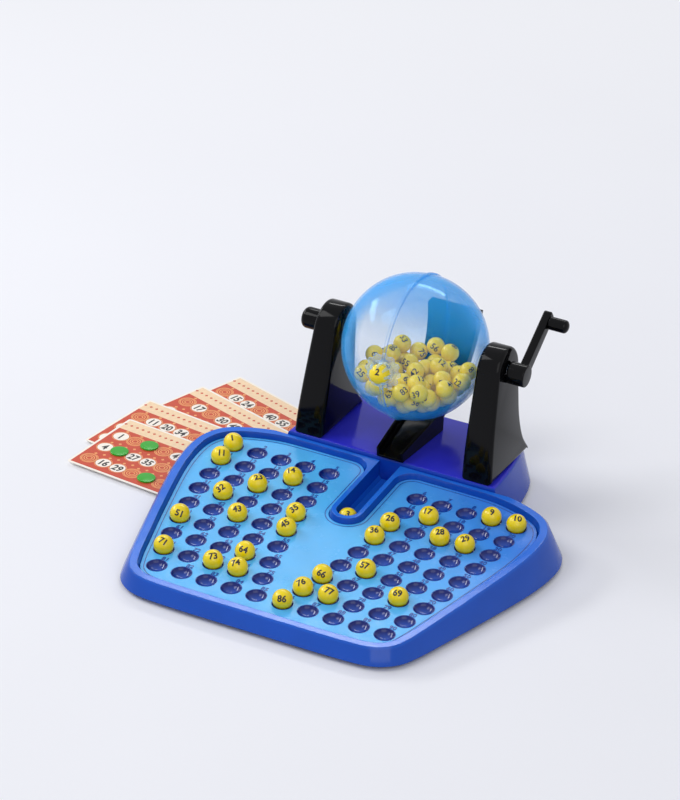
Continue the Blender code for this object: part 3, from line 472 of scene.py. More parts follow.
def board_plastic():
    """Sky blue that deepens towards the board's rear right, a painted shade."""
    made, tree, shader = new_material("sky_blue_moulding", SKY_BLUE, roughness=0.22)
    place = axes(tree, outputs(tree, "TexCoord")["Object"])
    share = ranged(tree, worked(tree, "ADD", place["X"], place["Y"]), BOARD_SHADE_FROM, BOARD_SHADE_TO)
    base = blended(tree, SKY_BLUE, SKY_BLUE_SHADED_REAR, share)
    fill(tree, shader, {
        "Specular IOR Level": 0.2,
        "Base Color": mottled(tree, base, spread=0.05, scale=45),
        "Roughness": noise_between(tree, scale=120, low=0.16, high=0.3),
        "Normal": moulded(tree, edge=0.0003, scale=200)})
    return made


def clear_plastic(name, colour, low_alpha, top_rear_alpha_with_painted_reflection, rim_alpha):
    """Thin clear shell: a pale veil, denser towards the top and rear as a painted reflection, and denser
    where it is seen edge on.
    """
    made, tree, shader = new_material(name, colour, roughness=0.06)
    place = axes(tree, outputs(tree, "NewGeometry")["Position"])
    # Painted reflection: the veil thickens upward and rearward in world space.
    height = worked(tree, "MULTIPLY_ADD", place["Y"], REFLECTION_VEIL_REAR_WEIGHT, place["Z"])
    middle = AXLE.z + REFLECTION_VEIL_REAR_WEIGHT * AXLE.y
    painted_reflection_veil = ranged(tree, height, middle, middle + REFLECTION_VEIL_DEPTH, low_alpha, top_rear_alpha_with_painted_reflection)
    edge_on = outputs(tree, "LayerWeight", {"Blend": VEIL_EDGE_BLEND})["Facing"]
    edge = ranged(tree, edge_on, VEIL_EDGE_FROM, 1)
    fill(tree, shader, {
        "IOR": SHELL_IOR,
        "Specular IOR Level": 0.5,
        "Specular Tint": linear(SHELL_GLOSS),
        "Base Color": mottled(tree, linear(colour), spread=0.04, scale=25),
        "Roughness": noise_between(tree, scale=60, low=0.04, high=0.09),
        "Alpha": outputs(tree, "Mix", {"A": painted_reflection_veil, "B": rim_alpha, "Factor": edge})["Result"]})
    return made


def printed(name, colour):
    made, tree, shader = new_material(name, colour, roughness=0.45)
    fill(tree, shader, {"Base Color": mottled(tree, linear(colour), spread=0.06, scale=400)})
    return made


def paper(name, colour):
    made, tree, shader = new_material(name, colour, roughness=0.6)
    fill(tree, shader, {
        "Base Color": mottled(tree, linear(colour), spread=0.03, scale=250),
        "Normal": uneven(tree, scale=900, height=FIBRE_BUMP, strength=FIBRE_BUMP_STRENGTH)})
    return made


MATERIALS = {
    # Tray: painted light on faces that look up, painted shade on steep faces.
    "deep_blue": plastic("deep_blue_moulding", TRAY_LIT_TOP_BLUE, 0.12, MOULD_EDGE, specular=0.3,
                         side=TRAY_SHADED_SIDE_BLUE, slopes=(0.55, 0.97)),
    # Board: sky blue with a painted shade towards its rear right.
    "sky_blue": board_plastic(),
    # Cups: the bowls' navy is painted shade of the hollow, darker still on the steep walls than on the floor.
    "cup_painted_shade": plastic("cup_painted_shade_moulding", CUP_SHADED_FLOOR_BLUE, 0.06, edge=0.0002, specular=0.35,
                        side=CUP_SHADED_WALL_BLUE, slopes=(0.7, 1.0)),
    # Raised relief: its darker blue is painted shade of embossed edges and of a groove.
    "relief_painted_shade": plastic("relief_painted_shade", RELIEF_SHADE_BLUE, 0.3, edge=0.0001),
    # Stand deck: painted light on its top, painted shade on its steep sides.
    "violet_blue": plastic("violet_blue_moulding", DECK_LIT_TOP_VIOLET, 0.14, MOULD_EDGE, specular=0.18,
                           side=DECK_SHADED_SIDE_BLUE, slopes=(0.5, 0.9)),
    "black": plastic("black_moulding", BLACK, 0.08, MOULD_EDGE, bump=0.00002, specular=0.14),
    "yellow": plastic("yellow_ball", YELLOW, 0.22, edge=0.0002, spread=0.03),
    "green": plastic("green_chip", CHIP_GREEN, 0.2, edge=0.0003),
    "shell": clear_plastic("clear_blue_shell", SHELL_BLUE, low_alpha=0.06, top_rear_alpha_with_painted_reflection=0.34, rim_alpha=0.8),
    "claw": clear_plastic("clear_claw", CLAW_BLUE, low_alpha=0.18, top_rear_alpha_with_painted_reflection=0.22, rim_alpha=0.95),
    "ink": printed("black_ink", INK),
    "card_white": paper("card_white", CARD_WHITE),
    "card_cream": printed("card_cream", CARD_CREAM),
    "card_red": printed("card_red", CARD_RED),
    "card_orange": printed("card_orange", CARD_ORANGE),
}


# Outline helpers

def smooth_through(points, steps):
    """Centripetal spline through the points, with this many steps in each span."""
    places = [Vector(point) for point in points]
    guides = [places[0] * 2 - places[1]] + places + [places[-1] * 2 - places[-2]]
    curve = []
    for index in range(1, len(guides) - 2):
        four = guides[index - 1:index + 3]
        knots = [0.0]
        for near, far in zip(four, four[1:]):
            knots.append(knots[-1] + math.sqrt((far - near).length))
        for step in range(steps):
            at = knots[1] + (knots[2] - knots[1]) * step / steps
            level = four
            for spans in SPLINE_SPANS:
                level = [near.lerp(far, (at - knots[low]) / (knots[high] - knots[low]))
                         for near, far, (low, high) in zip(level, level[1:], spans)]
            curve.append(level[0])
    curve.append(places[-1])
    return curve


def arc(centre, radius, start, end, steps):
    """Points on an arc between two angles in degrees, both ends included."""
    points = []
    for step in range(steps + 1):
        angle = math.radians(start + (end - start) * step / steps)
        points.append(Vector((centre[0] + radius * math.cos(angle), centre[1] + radius * math.sin(angle))))
    return points


def circle(centre, radius, sides):
    return arc(centre, radius, 0, 360, sides)[:-1]


def rectangle(low_x, high_x, low_y, high_y):
    return [(low_x, low_y), (high_x, low_y), (high_x, high_y), (low_x, high_y)]


def offset_outline(outline, distance):
    """Move a counter-clockwise closed outline outward by a distance, or inward if it is negative."""
    moved_points = []
    for index, point in enumerate(outline):
        before = point - outline[index - 1]
        after = outline[(index + 1) % len(outline)] - point
        normal_before = Vector((before.y, -before.x)).normalized()
        normal_after = Vector((after.y, -after.x)).normalized()
        middle = (normal_before + normal_after).normalized()
        moved_points.append(point + middle * (distance / middle.dot(normal_before)))
    return moved_points


def mirror_image(points):
    """The points on the other side of the middle, in reversed order."""
    return [Vector((-point.x, point.y)) for point in reversed(points)]


def at_height(outline, height):
    return [Vector((point.x, point.y, height)) for point in outline]


def quarter_steps(radius, count):
    """(inset, drop) pairs round an outer edge, from the side up to the top."""
    pairs = []
    for step in range(count + 1):
        angle = math.pi / 2 * step / count
        pairs.append((radius * (1 - math.cos(angle)), radius * (1 - math.sin(angle))))
    return pairs


# Mesh helpers

def to_mesh(shape, outward=True):
    """Mesh of the shape, which is used up. Its faces are turned outward unless they have to stay."""
    if outward:
        bmesh.ops.recalc_face_normals(shape, faces=shape.faces[:])
    mesh = bpy.data.meshes.new("shape")
    shape.to_mesh(mesh)
    shape.free()
    return mesh


def skin(shape, rings):
    """Faces between neighbouring rings, of which a pole has only one point."""
    for lower, upper in zip(rings, rings[1:]):
        sides = max(len(lower), len(upper))
        for side in range(sides):
            after = (side + 1) % sides
            corners = (lower[side % len(lower)], lower[after % len(lower)],
                       upper[after % len(upper)], upper[side % len(upper)])
            shape.faces.new(tuple(dict.fromkeys(corners)))


def loft(loops):
    """Closed solid through loops of equally many points, with both ends capped."""
    shape = bmesh.new()
    rings = [[shape.verts.new(point) for point in loop] for loop in loops]
    skin(shape, rings)
    shape.faces.new(rings[0])
    shape.faces.new(rings[-1])
    return to_mesh(shape)


def stack(*levels):
    """Closed solid through (outline, height) levels."""
    return loft([at_height(outline, height) for outline, height in levels])


def lathe(profile, sides, closed=False):
    """Turn (radius, height) pairs about Z. Ends at radius 0 close the solid, and closed makes a ring."""
    shape = bmesh.new()
    rings = []
    for radius, height in profile:
        angles = [2 * math.pi * side / sides for side in range(sides if radius else 1)]
        rings.append([shape.verts.new((radius * math.cos(angle), radius * math.sin(angle), height))
                      for angle in angles])
    skin(shape, rings + rings[:1] if closed else rings)
    return to_mesh(shape)


def cylinder(radius, low, high, sides):
    return lathe(((0, low), (radius, low), (radius, high), (0, high)), sides)


def moved(mesh, place=(0, 0, 0), turn=None):
    """The mesh turned by a rotation matrix, then moved."""
    mesh.transform(Matrix.Translation(place) @ (turn or Matrix.Identity(4)))
    return mesh


def mirrored(mesh):
    """The same solid on the other side of the middle plane."""
    other = mesh.copy()
    other.transform(Matrix.Scale(-1, 4, (1, 0, 0)))
    other.flip_normals()
    return other


def joined(parts):
    """One mesh from (mesh, matrix, material index) parts."""
    shape = bmesh.new()
    for mesh, place, finish in parts:
        first = len(shape.faces)
        copy = mesh.copy()
        copy.transform(place)
        shape.from_mesh(copy)
        bpy.data.meshes.remove(copy)
        shape.faces.ensure_lookup_table()
        for face in shape.faces[first:]:
            face.material_index = finish
    return to_mesh(shape, outward=False)


def linked(name, data):
    thing = bpy.data.objects.new(name, data)
    bpy.context.scene.collection.objects.link(thing)
    return thing


def evaluated(thing):
    """Mesh of an object as its modifiers or its curve make it. The object is removed."""
    depsgraph = bpy.context.evaluated_depsgraph_get()
    mesh = bpy.data.meshes.new_from_object(thing.evaluated_get(depsgraph))
    bpy.data.objects.remove(thing)
    return mesh


def combined(mesh, tools, operation):
    """The mesh after a Boolean with each of the tool meshes in turn."""
    for tool in tools:
        body = linked("body", mesh)
        other = linked("tool", tool)
        step = body.modifiers.new("step", "BOOLEAN")
        step.operation = operation
        step.solver = "EXACT"
        step.object = other
        mesh = evaluated(body)
        bpy.data.objects.remove(other)
    return mesh


def cut(mesh, *tools):
    return combined(mesh, tools, "DIFFERENCE")


def united(mesh, *others):
    return combined(mesh, others, "UNION")


def rounded(mesh, radius, angle=28, segments=3):
    """The mesh with its edges rounded where faces meet at more than this angle in degrees."""
    shape = bmesh.new()
    shape.from_mesh(mesh)
    bmesh.ops.remove_doubles(shape, verts=shape.verts[:], dist=WELD_DISTANCE)
    flat = math.radians(FLAT_DEGREES)
    bmesh.ops.dissolve_limit(shape, angle_limit=flat, verts=shape.verts[:], edges=shape.edges[:])
    shape.to_mesh(mesh)
    shape.free()
    body = linked("body", mesh)
    mesh.shade_smooth()
    step = body.modifiers.new("edges", "BEVEL")
    step.width = radius
    step.segments = segments
    step.limit_method = "ANGLE"
    step.angle_limit = math.radians(angle)
    step.harden_normals = True
    return evaluated(body)


def flat_shape(outlines, thickness):
    """Filled flat shape between closed outlines, as a curve fills them, with its top at this height."""
    curve = bpy.data.curves.new("flat", "CURVE")
    curve.dimensions = "2D"
    curve.fill_mode = "BOTH"
    for outline in outlines:
        spline = curve.splines.new("POLY")
        spline.points.add(len(outline) - 1)
        for point, place in zip(spline.points, outline):
            point.co = (place[0], place[1], 0, 1)
        spline.use_cyclic_u = True
    curve.extrude = thickness / 2
    return moved(evaluated(linked("flat", curve)), (0, 0, thickness / 2))


def flat_ring(outer, inner, thickness):
    return flat_shape([circle((0, 0), outer, sides=32), circle((0, 0), inner, sides=32)], thickness)


def number_mesh(number, height, thickness, boldness=0.02):
    """Plain figures of this height, centred, lying flat with their top at this thickness."""
    curve = bpy.data.curves.new("figures", "FONT")
    curve.body = str(number)
    curve.size = height / FIGURE_HEIGHT_SHARE
    curve.align_x = "CENTER"
    curve.resolution_u = FIGURE_STEPS
    curve.offset = height * boldness
    curve.extrude = thickness / 2
    return moved(evaluated(linked("figures", curve)), (0, -height / 2, thickness / 2))


def wrapped(mesh, radius, step):
    """Bend a flat mesh at the origin round a sphere's pole, cutting long faces first."""
    shape = bmesh.new()
    shape.from_mesh(mesh)
    for axis in (Vector((1, 0, 0)), Vector((0, 1, 0))):
        reach = max(abs(vertex.co.dot(axis)) for vertex in shape.verts)
        count = int(reach / step)
        for index in range(-count, count + 1):
            everything = shape.verts[:] + shape.edges[:] + shape.faces[:]
            bmesh.ops.bisect_plane(shape, geom=everything, plane_co=axis * step * index, plane_no=axis)
    for vertex in shape.verts:
        flat = Vector((vertex.co.x, vertex.co.y))
        angle = flat.length / radius
        direction = flat.normalized() * math.sin(angle)
        vertex.co = Vector((direction.x, direction.y, math.cos(angle))) * (radius + vertex.co.z)
    return to_mesh(shape, outward=False)


def add(name, mesh, finishes, body, smooth=40, node=None):
    """A piece in the row's frame that rides on a CAD body, and may replace one of its nodes."""
    mesh.name = name
    kept = [face.material_index for face in mesh.polygons]
    mesh.materials.clear()
    for finish in finishes:
        mesh.materials.append(MATERIALS[finish])
    for face, index in zip(mesh.polygons, kept):
        face.material_index = min(index, len(finishes) - 1)
    if smooth:
        mesh.shade_smooth()
        mesh.set_sharp_from_angle(angle=math.radians(smooth))
    made = linked(name, mesh)
    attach(made, body)
    if node:
        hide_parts(node)
    return made


def refine(node, mesh, finishes, body, smooth, place=AT_AXLE):
    """The finer piece that replaces a CAD node, moved from its own frame to the row's."""
    mesh.transform(place)
    return add(node + "_fine", mesh, finishes, body, smooth, node)


# Tray

def plate_edge(with_island=False):
    """Edge of the board's recess, counter-clockwise from the front, if asked round the channel's island."""
    points = [(across * PLATE_HALF_WIDTH, PLATE_REAR - back * PLATE_LENGTH)
              for across, back in PLATE_EDGE_SHARES]
    right = smooth_through(points, steps=5)
    island = []
    if with_island:
        reach = ISLAND_HALF_WIDTH + ISLAND_FILLET
        below = PLATE_REAR - ISLAND_FILLET
        island += arc((reach, below), ISLAND_FILLET, 90, 180, steps=10)
        island += arc((0, CHANNEL_END), ISLAND_HALF_WIDTH, 0, -180, steps=24)
        island += arc((-reach, below), ISLAND_FILLET, 0, 90, steps=10)
    return right + island + mirror_image(right[1:])


def height_in_tray(y, world_height):
    """Height in the tray's frame of a point that lies this high in the world."""
    return (world_height - PLATE_HEIGHT - y * math.sin(TRAY_SLOPE)) / math.cos(TRAY_SLOPE)


def held_in_front(point, height, rear):
    """Keep a point of the tray in front of the upright plane where the stand begins."""
    limit = (rear + height * math.sin(TRAY_SLOPE)) / math.cos(TRAY_SLOPE)
    return Vector((point.x, min(point.y, limit), height))


def skirt_width(height):
    return SHOULDER_WIDTH + SKIRT_DRAFT_SHARE * (RIM_HEIGHT - SHOULDER_DROP - height)


def skirt_loop(height, inset, rear):
    edge = offset_outline(plate_edge(), skirt_width(height) - inset)
    return [held_in_front(point, height, rear) for point in edge]


def skirt_foot_loop(inset, drop, rear):
    """The skirt's lower edge, level with the ground and this far below its real place."""
    edge = plate_edge()
    loop = []
    for index, point in enumerate(edge):
        level = height_in_tray(point.y, FOOT_HEIGHT - drop)
        wide = offset_outline(edge, skirt_width(level) - inset)[index]
        held = wide
        for _ in range(SETTLE_STEPS):
            held = held_in_front(wide, height_in_tray(held.y, FOOT_HEIGHT - drop), rear)
        loop.append(held)
    return loop


def channel_outline(half_width, rear):
    end = arc((0, CHANNEL_END), half_width, 0, -180, steps=24)
    return [Vector((half_width, rear))] + end + [Vector((-half_width, rear))]


def channel_cutter():
    rear = TRAY_REAR + BALL_RADIUS
    narrow = channel_outline(CHANNEL_HALF_WIDTH - CHANNEL_FLOOR_CHAMFER, rear)
    wide = channel_outline(CHANNEL_HALF_WIDTH, rear)
    return stack((narrow, -CHANNEL_DEPTH), (wide, -CHANNEL_DEPTH + CHANNEL_FLOOR_CHAMFER),
                 (wide, RIM_HEIGHT + OVERRUN))


def tray_feet(top):
    """Round posts from inside the tray's ledge down to the ground, where they are cut level."""
    feet = []
    middle = Vector((0, PLATE_REAR - PLATE_LENGTH / 2))
    for index in TRAY_FOOT_POINTS:
        across, back = PLATE_EDGE_SHARES[index]
        corner = Vector((across * PLATE_HALF_WIDTH, PLATE_REAR - back * PLATE_LENGTH))
        point = middle.lerp(corner, TRAY_FOOT_REACH_SHARE)
        for side in (1, -1):
            post = circle((side * point.x, point.y), FOOT_RADIUS, sides=24)
            sole = [Vector((place.x, place.y, height_in_tray(place.y, 0))) for place in post]
            feet.append(loft([sole, at_height(post, top)]))
    return feet


def dress_tray():
    seat = -BOARD_THICKNESS - GAP
    ledge = seat - LEDGE_THICKNESS
    rim = offset_outline(plate_edge(), RIM_WIDTH)
    crest = [held_in_front(point, RIM_HEIGHT, TRAY_REAR) for point in rim]
    shoulder = skirt_loop(RIM_HEIGHT - SHOULDER_DROP, 0, TRAY_REAR)
    inner_rear = TRAY_REAR - SKIRT_WALL
    inside = loft([skirt_foot_loop(SKIRT_WALL, OVERRUN, inner_rear),
                   skirt_loop(ledge, SKIRT_WALL, inner_rear)])
    recess = plate_edge(with_island=True)
    above = RIM_HEIGHT + OVERRUN
    draft = RIM_DRAFT * above / RIM_HEIGHT
    opening = offset_outline(recess, -LEDGE_WIDTH)
    trough = channel_outline(CHANNEL_HALF_WIDTH + CHANNEL_WALL, TRAY_REAR - SKIRT_WALL / 2)
    body = cut(loft([skirt_foot_loop(0, 0, TRAY_REAR), shoulder, crest]), inside,
               stack((recess, seat), (recess, 0), (offset_outline(recess, draft), above)),
               stack((opening, ledge - OVERRUN), (opening, seat + OVERRUN)))
    body = united(body, stack((trough, -CHANNEL_DEPTH - CHANNEL_WALL), (trough, ledge + OVERRUN)))
    body = united(cut(body, channel_cutter()), *tray_feet(ledge + OVERRUN / 2))
    body = rounded(body, TRAY_EDGE_RADIUS, segments=4)
    refine("tray_frame", body, ["deep_blue"], "base", smooth=0, place=TRAY)


def cup_places():
    """Number and place of every cup: ten to a row, counted from the left, rows from the rear."""
    places = {}
    for row in range(ROWS):
        inner = INNER_COLUMN_REAR - INNER_COLUMN_SWEEP * (row / (ROWS - 1)) ** SWEEP_POWER
        middle = (2 * row + 1) * COLUMNS_PER_SIDE
        for column in range(COLUMNS_PER_SIDE):
            reach = inner + COLUMN_PITCH * column
            places[middle - column] = Vector((-reach, -ROW_PITCH * row, 0))
            places[middle + column + 1] = Vector((reach, -ROW_PITCH * row, 0))
    return places


def cup_mesh():
    """Round-lipped bowl under the plate."""
    profile = [(CUP_MOUTH, 0)]
    for point in arc((CUP_MOUTH, -CUP_LIP), CUP_LIP, 90, 180, steps=4)[1:]:
        profile.append((point.x, point.y))
    bowl_depth = CUP_DEPTH - CUP_LIP
    bowl_radius = (CUP_RIM_RADIUS ** 2 + bowl_depth ** 2) / (2 * bowl_depth)
    for step in range(1, CUP_STEPS):
        radius = CUP_RIM_RADIUS * (1 - step / CUP_STEPS)
        profile.append((radius, -CUP_DEPTH + bowl_radius - math.sqrt(bowl_radius ** 2 - radius ** 2)))
    profile.append((0, -CUP_DEPTH))
    return lathe(profile, sides=40)


def dress_board():
    """Plate with its 90 bowls, a thin line round each of them and a small raised number behind it."""
    edge = plate_edge(with_island=True)
    outlines = [offset_outline(edge, -GAP)]
    bowls = []
    relief = []
    bowl = cup_mesh()
    cup_line = flat_ring(CUP_MOUTH + CUP_LINE_WIDTH, CUP_MOUTH, CUP_NUMBER_RISE / 2)
    for number, place in cup_places().items():
        spot = Matrix.Translation(place)
        outlines.append(circle(place, CUP_MOUTH, sides=40))
        bowls.append((bowl, spot, 1))
        relief.append((cup_line, spot, 0))
        figures = number_mesh(number, CUP_NUMBER_HEIGHT, CUP_NUMBER_RISE)
        relief.append((figures, Matrix.Translation(place + CUP_NUMBER_PLACE), 0))
    plate = flat_shape(outlines, BOARD_THICKNESS)
    board = joined([(plate, Matrix.Translation((0, 0, -BOARD_THICKNESS)), 0)] + bowls)
    refine("cup_board", board, ["sky_blue", "cup_painted_shade"], "base", smooth=30, place=TRAY)
    inner = offset_outline(edge, -BOARD_LINE_INSET - BOARD_LINE_WIDTH)
    plate_line = flat_shape([offset_outline(edge, -BOARD_LINE_INSET), inner], CUP_NUMBER_RISE / 2)
    # The raised numbers, cup lines and plate line take a darker blue: painted shade of embossed edges and of
    # a groove inside the plate's edge.
    numbers = joined(relief + [(plate_line, Matrix.Identity(4), 0)])
    numbers.transform(TRAY)
    add("cup_numbers", numbers, ["relief_painted_shade"], "base")


# Stand

def deck_outline(extra, front):
    """Outline of the stand base, this much wider at the sides and rear and set back at the front."""
    points = [Vector((across * DECK_HALF_WIDTH, STAND_FRONT + back * DECK_DEPTH))
              for across, back in DECK_EDGE_SHARES]
    right = smooth_through(points, steps=6)
    wide = offset_outline(right + mirror_image(right[:-1]), extra)
    return [Vector((point.x, max(point.y, STAND_FRONT + front))) for point in wide]


def dress_stand_base():
    flare = DECK_FLARE * (DECK_HEIGHT - DECK_EDGE_RADIUS - FOOT_HEIGHT) / DECK_HEIGHT
    levels = [(deck_outline(flare, 0), FOOT_HEIGHT)]
    for inset, drop in quarter_steps(DECK_EDGE_RADIUS, count=5):
        levels.append((deck_outline(-inset, inset), DECK_HEIGHT - drop))
    inside = stack((deck_outline(flare - DECK_WALL, DECK_WALL), FOOT_HEIGHT - OVERRUN),
                   (deck_outline(-DECK_WALL, DECK_WALL), DECK_HEIGHT - DECK_WALL))
    feet = []
    for across, back in STAND_FOOT_SHARES:
        for side in (1, -1):
            place = (side * across * DECK_HALF_WIDTH, STAND_FRONT + back * DECK_DEPTH, 0)
            foot = cylinder(STAND_FOOT_RADIUS, 0, DECK_HEIGHT - DECK_WALL / 2, sides=24)
            feet.append(moved(foot, place))
    body = united(cut(stack(*levels), inside), *feet)
    refine("stand_base", body, ["violet_blue"], "base", smooth=30, place=DESIGN)


def upright_thickness(height):
    """Thickness of an upright at a height above the deck."""
    share = height / (AXLE_RISE + UPRIGHT_TOP_RADIUS)
    return UPRIGHT_BASE_THICKNESS + (UPRIGHT_TOP_THICKNESS - UPRIGHT_BASE_THICKNESS) * share


def upright_profile():
    """Side view of an upright about the axle, as (y, z), from the foot of its front edge."""
    front, rear = ([Vector((back * AXLE_RISE, (up - 1) * AXLE_RISE + GAP)) for up, back in shares]
                   for shares in (UPRIGHT_FRONT_SHARES, UPRIGHT_REAR_SHARES))
    top = arc((0, 0), UPRIGHT_TOP_RADIUS, *UPRIGHT_TOP_DEGREES, steps=24)
    rise = smooth_through(front + [top[0]], steps=6)
    fall = smooth_through([top[-1]] + rear, steps=6)
    return rise[:-1] + top + fall[1:]


def upright_mesh():
    """The right upright about the axle, with its bearing bore."""
    outline = list(reversed(upright_profile()))
    base = -AXLE_RISE + GAP
    stations = quarter_steps(UPRIGHT_EDGE_RADIUS, count=5)
    loops = []
    for outer, order in ((False, stations), (True, stations[::-1])):
        for inset, depth in order:
            loop = []
            for point in offset_outline(outline, -depth):
                level = max(point.y, base)
                thickness = upright_thickness(level + AXLE_RISE)
                across = UPRIGHT_INNER + (thickness - inset if outer else inset)
                loop.append(Vector((across, point.x, level)))
            loops.append(loop)
    bore = cylinder(AXLE_RADIUS + GAP, 0, UPRIGHT_BASE_THICKNESS + OVERRUN, sides=32)
    return cut(loft(loops), moved(bore, (UPRIGHT_INNER - OVERRUN, 0, 0), ALONG_X))


def dress_uprights():
    right = upright_mesh()
    for name, mesh in (("left_upright", mirrored(right)), ("right_upright", right)):
        refine(name, mesh, ["black"], "base", smooth=30)


def chute_path():
    """Floor line as (y, z), its inward normal and its share of the way from spout to top."""
    front = AXLE_SETBACK + CHUTE_OVERHANG
    drop = AXLE_RISE - GAP - CHUTE_THICKNESS
    touch = math.acos(CHUTE_RADIUS / math.hypot(front, drop)) - math.atan2(front, drop)
    path = []
    begin = Vector((-front, -drop))
    end = Vector((CHUTE_RADIUS * math.sin(touch), -CHUTE_RADIUS * math.cos(touch)))
    level = Vector((-math.sin(touch), math.cos(touch)))
    for step in range(CHUTE_RUN_STEPS):
        path.append((begin.lerp(end, step / CHUTE_RUN_STEPS), level))
    sweep = math.pi / 2 + CHUTE_TOP_ANGLE - touch
    for step in range(CHUTE_BEND_STEPS + 1):
        angle = touch + sweep * step / CHUTE_BEND_STEPS
        place = Vector((CHUTE_RADIUS * math.sin(angle), -CHUTE_RADIUS * math.cos(angle)))
        path.append((place, -place.normalized()))
    travelled = [0.0]
    for (before, _), (after, _) in zip(path, path[1:]):
        travelled.append(travelled[-1] + (after - before).length)
    return [(place, normal, way / travelled[-1]) for (place, normal), way in zip(path, travelled)]


def dress_chute():
    """Curved guard behind the globe that runs down and forward as an open trough."""
    loops = []
    base = []
    floor = -AXLE_RISE + GAP
    for place, normal, share in chute_path():
        half = CHUTE_FRONT_HALF_WIDTH + (CHUTE_TOP_HALF_WIDTH - CHUTE_FRONT_HALF_WIDTH) * share
        inner = half - CHUTE_WALL
        section = ((half, CHUTE_WALL_HEIGHT), (half, -CHUTE_THICKNESS), (-half, -CHUTE_THICKNESS),
                   (-half, CHUTE_WALL_HEIGHT), (-inner, CHUTE_WALL_HEIGHT), (-inner, 0),
                   (inner, 0), (inner, CHUTE_WALL_HEIGHT))
        loops.append([Vector((across, place.x + normal.x * up, place.y + normal.y * up))
                      for across, up in section])
        under = place - normal * (CHUTE_THICKNESS / 2)
        if -AXLE_SETBACK <= under.x <= CHUTE_BASE_REACH:
            side = half - GAP
            base.append([Vector((side, under.x, floor)), Vector((side, under.x, under.y)),
                         Vector((-side, under.x, under.y)), Vector((-side, under.x, floor))])
    body = rounded(united(loft(loops), loft(base)), CHUTE_EDGE_RADIUS)
    refine("ball_chute", body, ["black"], "base", smooth=0)


# Globe and claw

def axle_face():
    """How far from the middle a hub on the axle starts, clear of the slanted upright."""
    return UPRIGHT_INNER + upright_thickness(AXLE_RISE - HUB_RADIUS) + GAP


def port_turn():
    direction = Vector((0, -math.cos(PORT_TILT), math.sin(PORT_TILT)))
    return Vector((0, 0, 1)).rotation_difference(direction).to_matrix().to_4x4()


def on_sphere(radius, step):
    """(radius, height) of a point on a sphere, counted in steps from the pole to the equator."""
    angle = math.pi / 2 * step / GLOBE_STEPS
    return (radius * math.sin(angle), radius * math.cos(angle))


def globe_half_mesh():
    """The right half of the globe with its lip at the seam and its axle stub."""
    inner = GLOBE_RADIUS - GLOBE_WALL
    profile = [(0, inner)] + [on_sphere(inner, step) for step in range(1, GLOBE_STEPS)]
    lip = GLOBE_RADIUS + SEAM_LIP_HEIGHT
    profile += [(inner, SEAM_HALF_GAP), (lip - SEAM_LIP_EDGE, SEAM_HALF_GAP),
                (lip, SEAM_HALF_GAP + SEAM_LIP_EDGE),
                (lip, SEAM_HALF_GAP + SEAM_LIP_WIDTH - SEAM_LIP_EDGE),
                (lip - SEAM_LIP_EDGE, SEAM_HALF_GAP + SEAM_LIP_WIDTH),
                (math.sqrt(GLOBE_RADIUS ** 2 - SEAM_LIP_WIDTH ** 2 * 4), SEAM_LIP_WIDTH * 2)]
    foot = math.sqrt(GLOBE_RADIUS ** 2 - (2 * AXLE_RADIUS) ** 2)
    for step in range(GLOBE_STEPS - 2, 2, -1):
        point = on_sphere(GLOBE_RADIUS, step)
        if point[1] < foot:
            profile.append(point)
    for point in arc((2 * AXLE_RADIUS, foot + AXLE_RADIUS), AXLE_RADIUS, 270, 180, steps=6):
        profile.append((point.x, point.y - STUB_FILLET_SINK))
    reach = axle_face() + AXLE_REACH
    profile += [(AXLE_RADIUS, reach), (0, reach)]
    half = moved(lathe(profile, sides=96), turn=ALONG_X)
    port = cylinder(PORT_RADIUS, inner - OVERRUN * 2, lip + OVERRUN, sides=48)
    return cut(half, moved(port, turn=port_turn()))


def dress_globe():
    half = globe_half_mesh()
    for name, mesh in (("globe_left_half", mirrored(half)), ("globe_right_half", half)):
        shell = refine(name, mesh, ["shell"], "globe", smooth=30)
        shell.visible_shadow = False


def finger_mesh(top):
    """One finger from the collar's top, leaning in over the ball."""
    start = CLAW_BORE + FINGER_SETBACK
    tip = GLOBE_RADIUS + CLAW_REACH
    loops = []
    for step in range(FINGER_STEPS + 1):
        share = step / FINGER_STEPS
        bent = max(0.0, (share - FINGER_STRAIGHT_SHARE) / (1 - FINGER_STRAIGHT_SHARE))
        lean = bent ** FINGER_LEAN_POWER
        inner = start + (CLAW_TIP_RADIUS - start) * lean
        height = top - OVERRUN + (tip - top + OVERRUN) * share
        half = CLAW_FINGER_WIDTH / 2 * (1 - FINGER_TAPER_SHARE * lean)
        section = rectangle(inner, inner + CLAW_FINGER_THICKNESS, -half, half)
        loops.append([Vector((*corner, height)) for corner in section])
    return loft(loops)


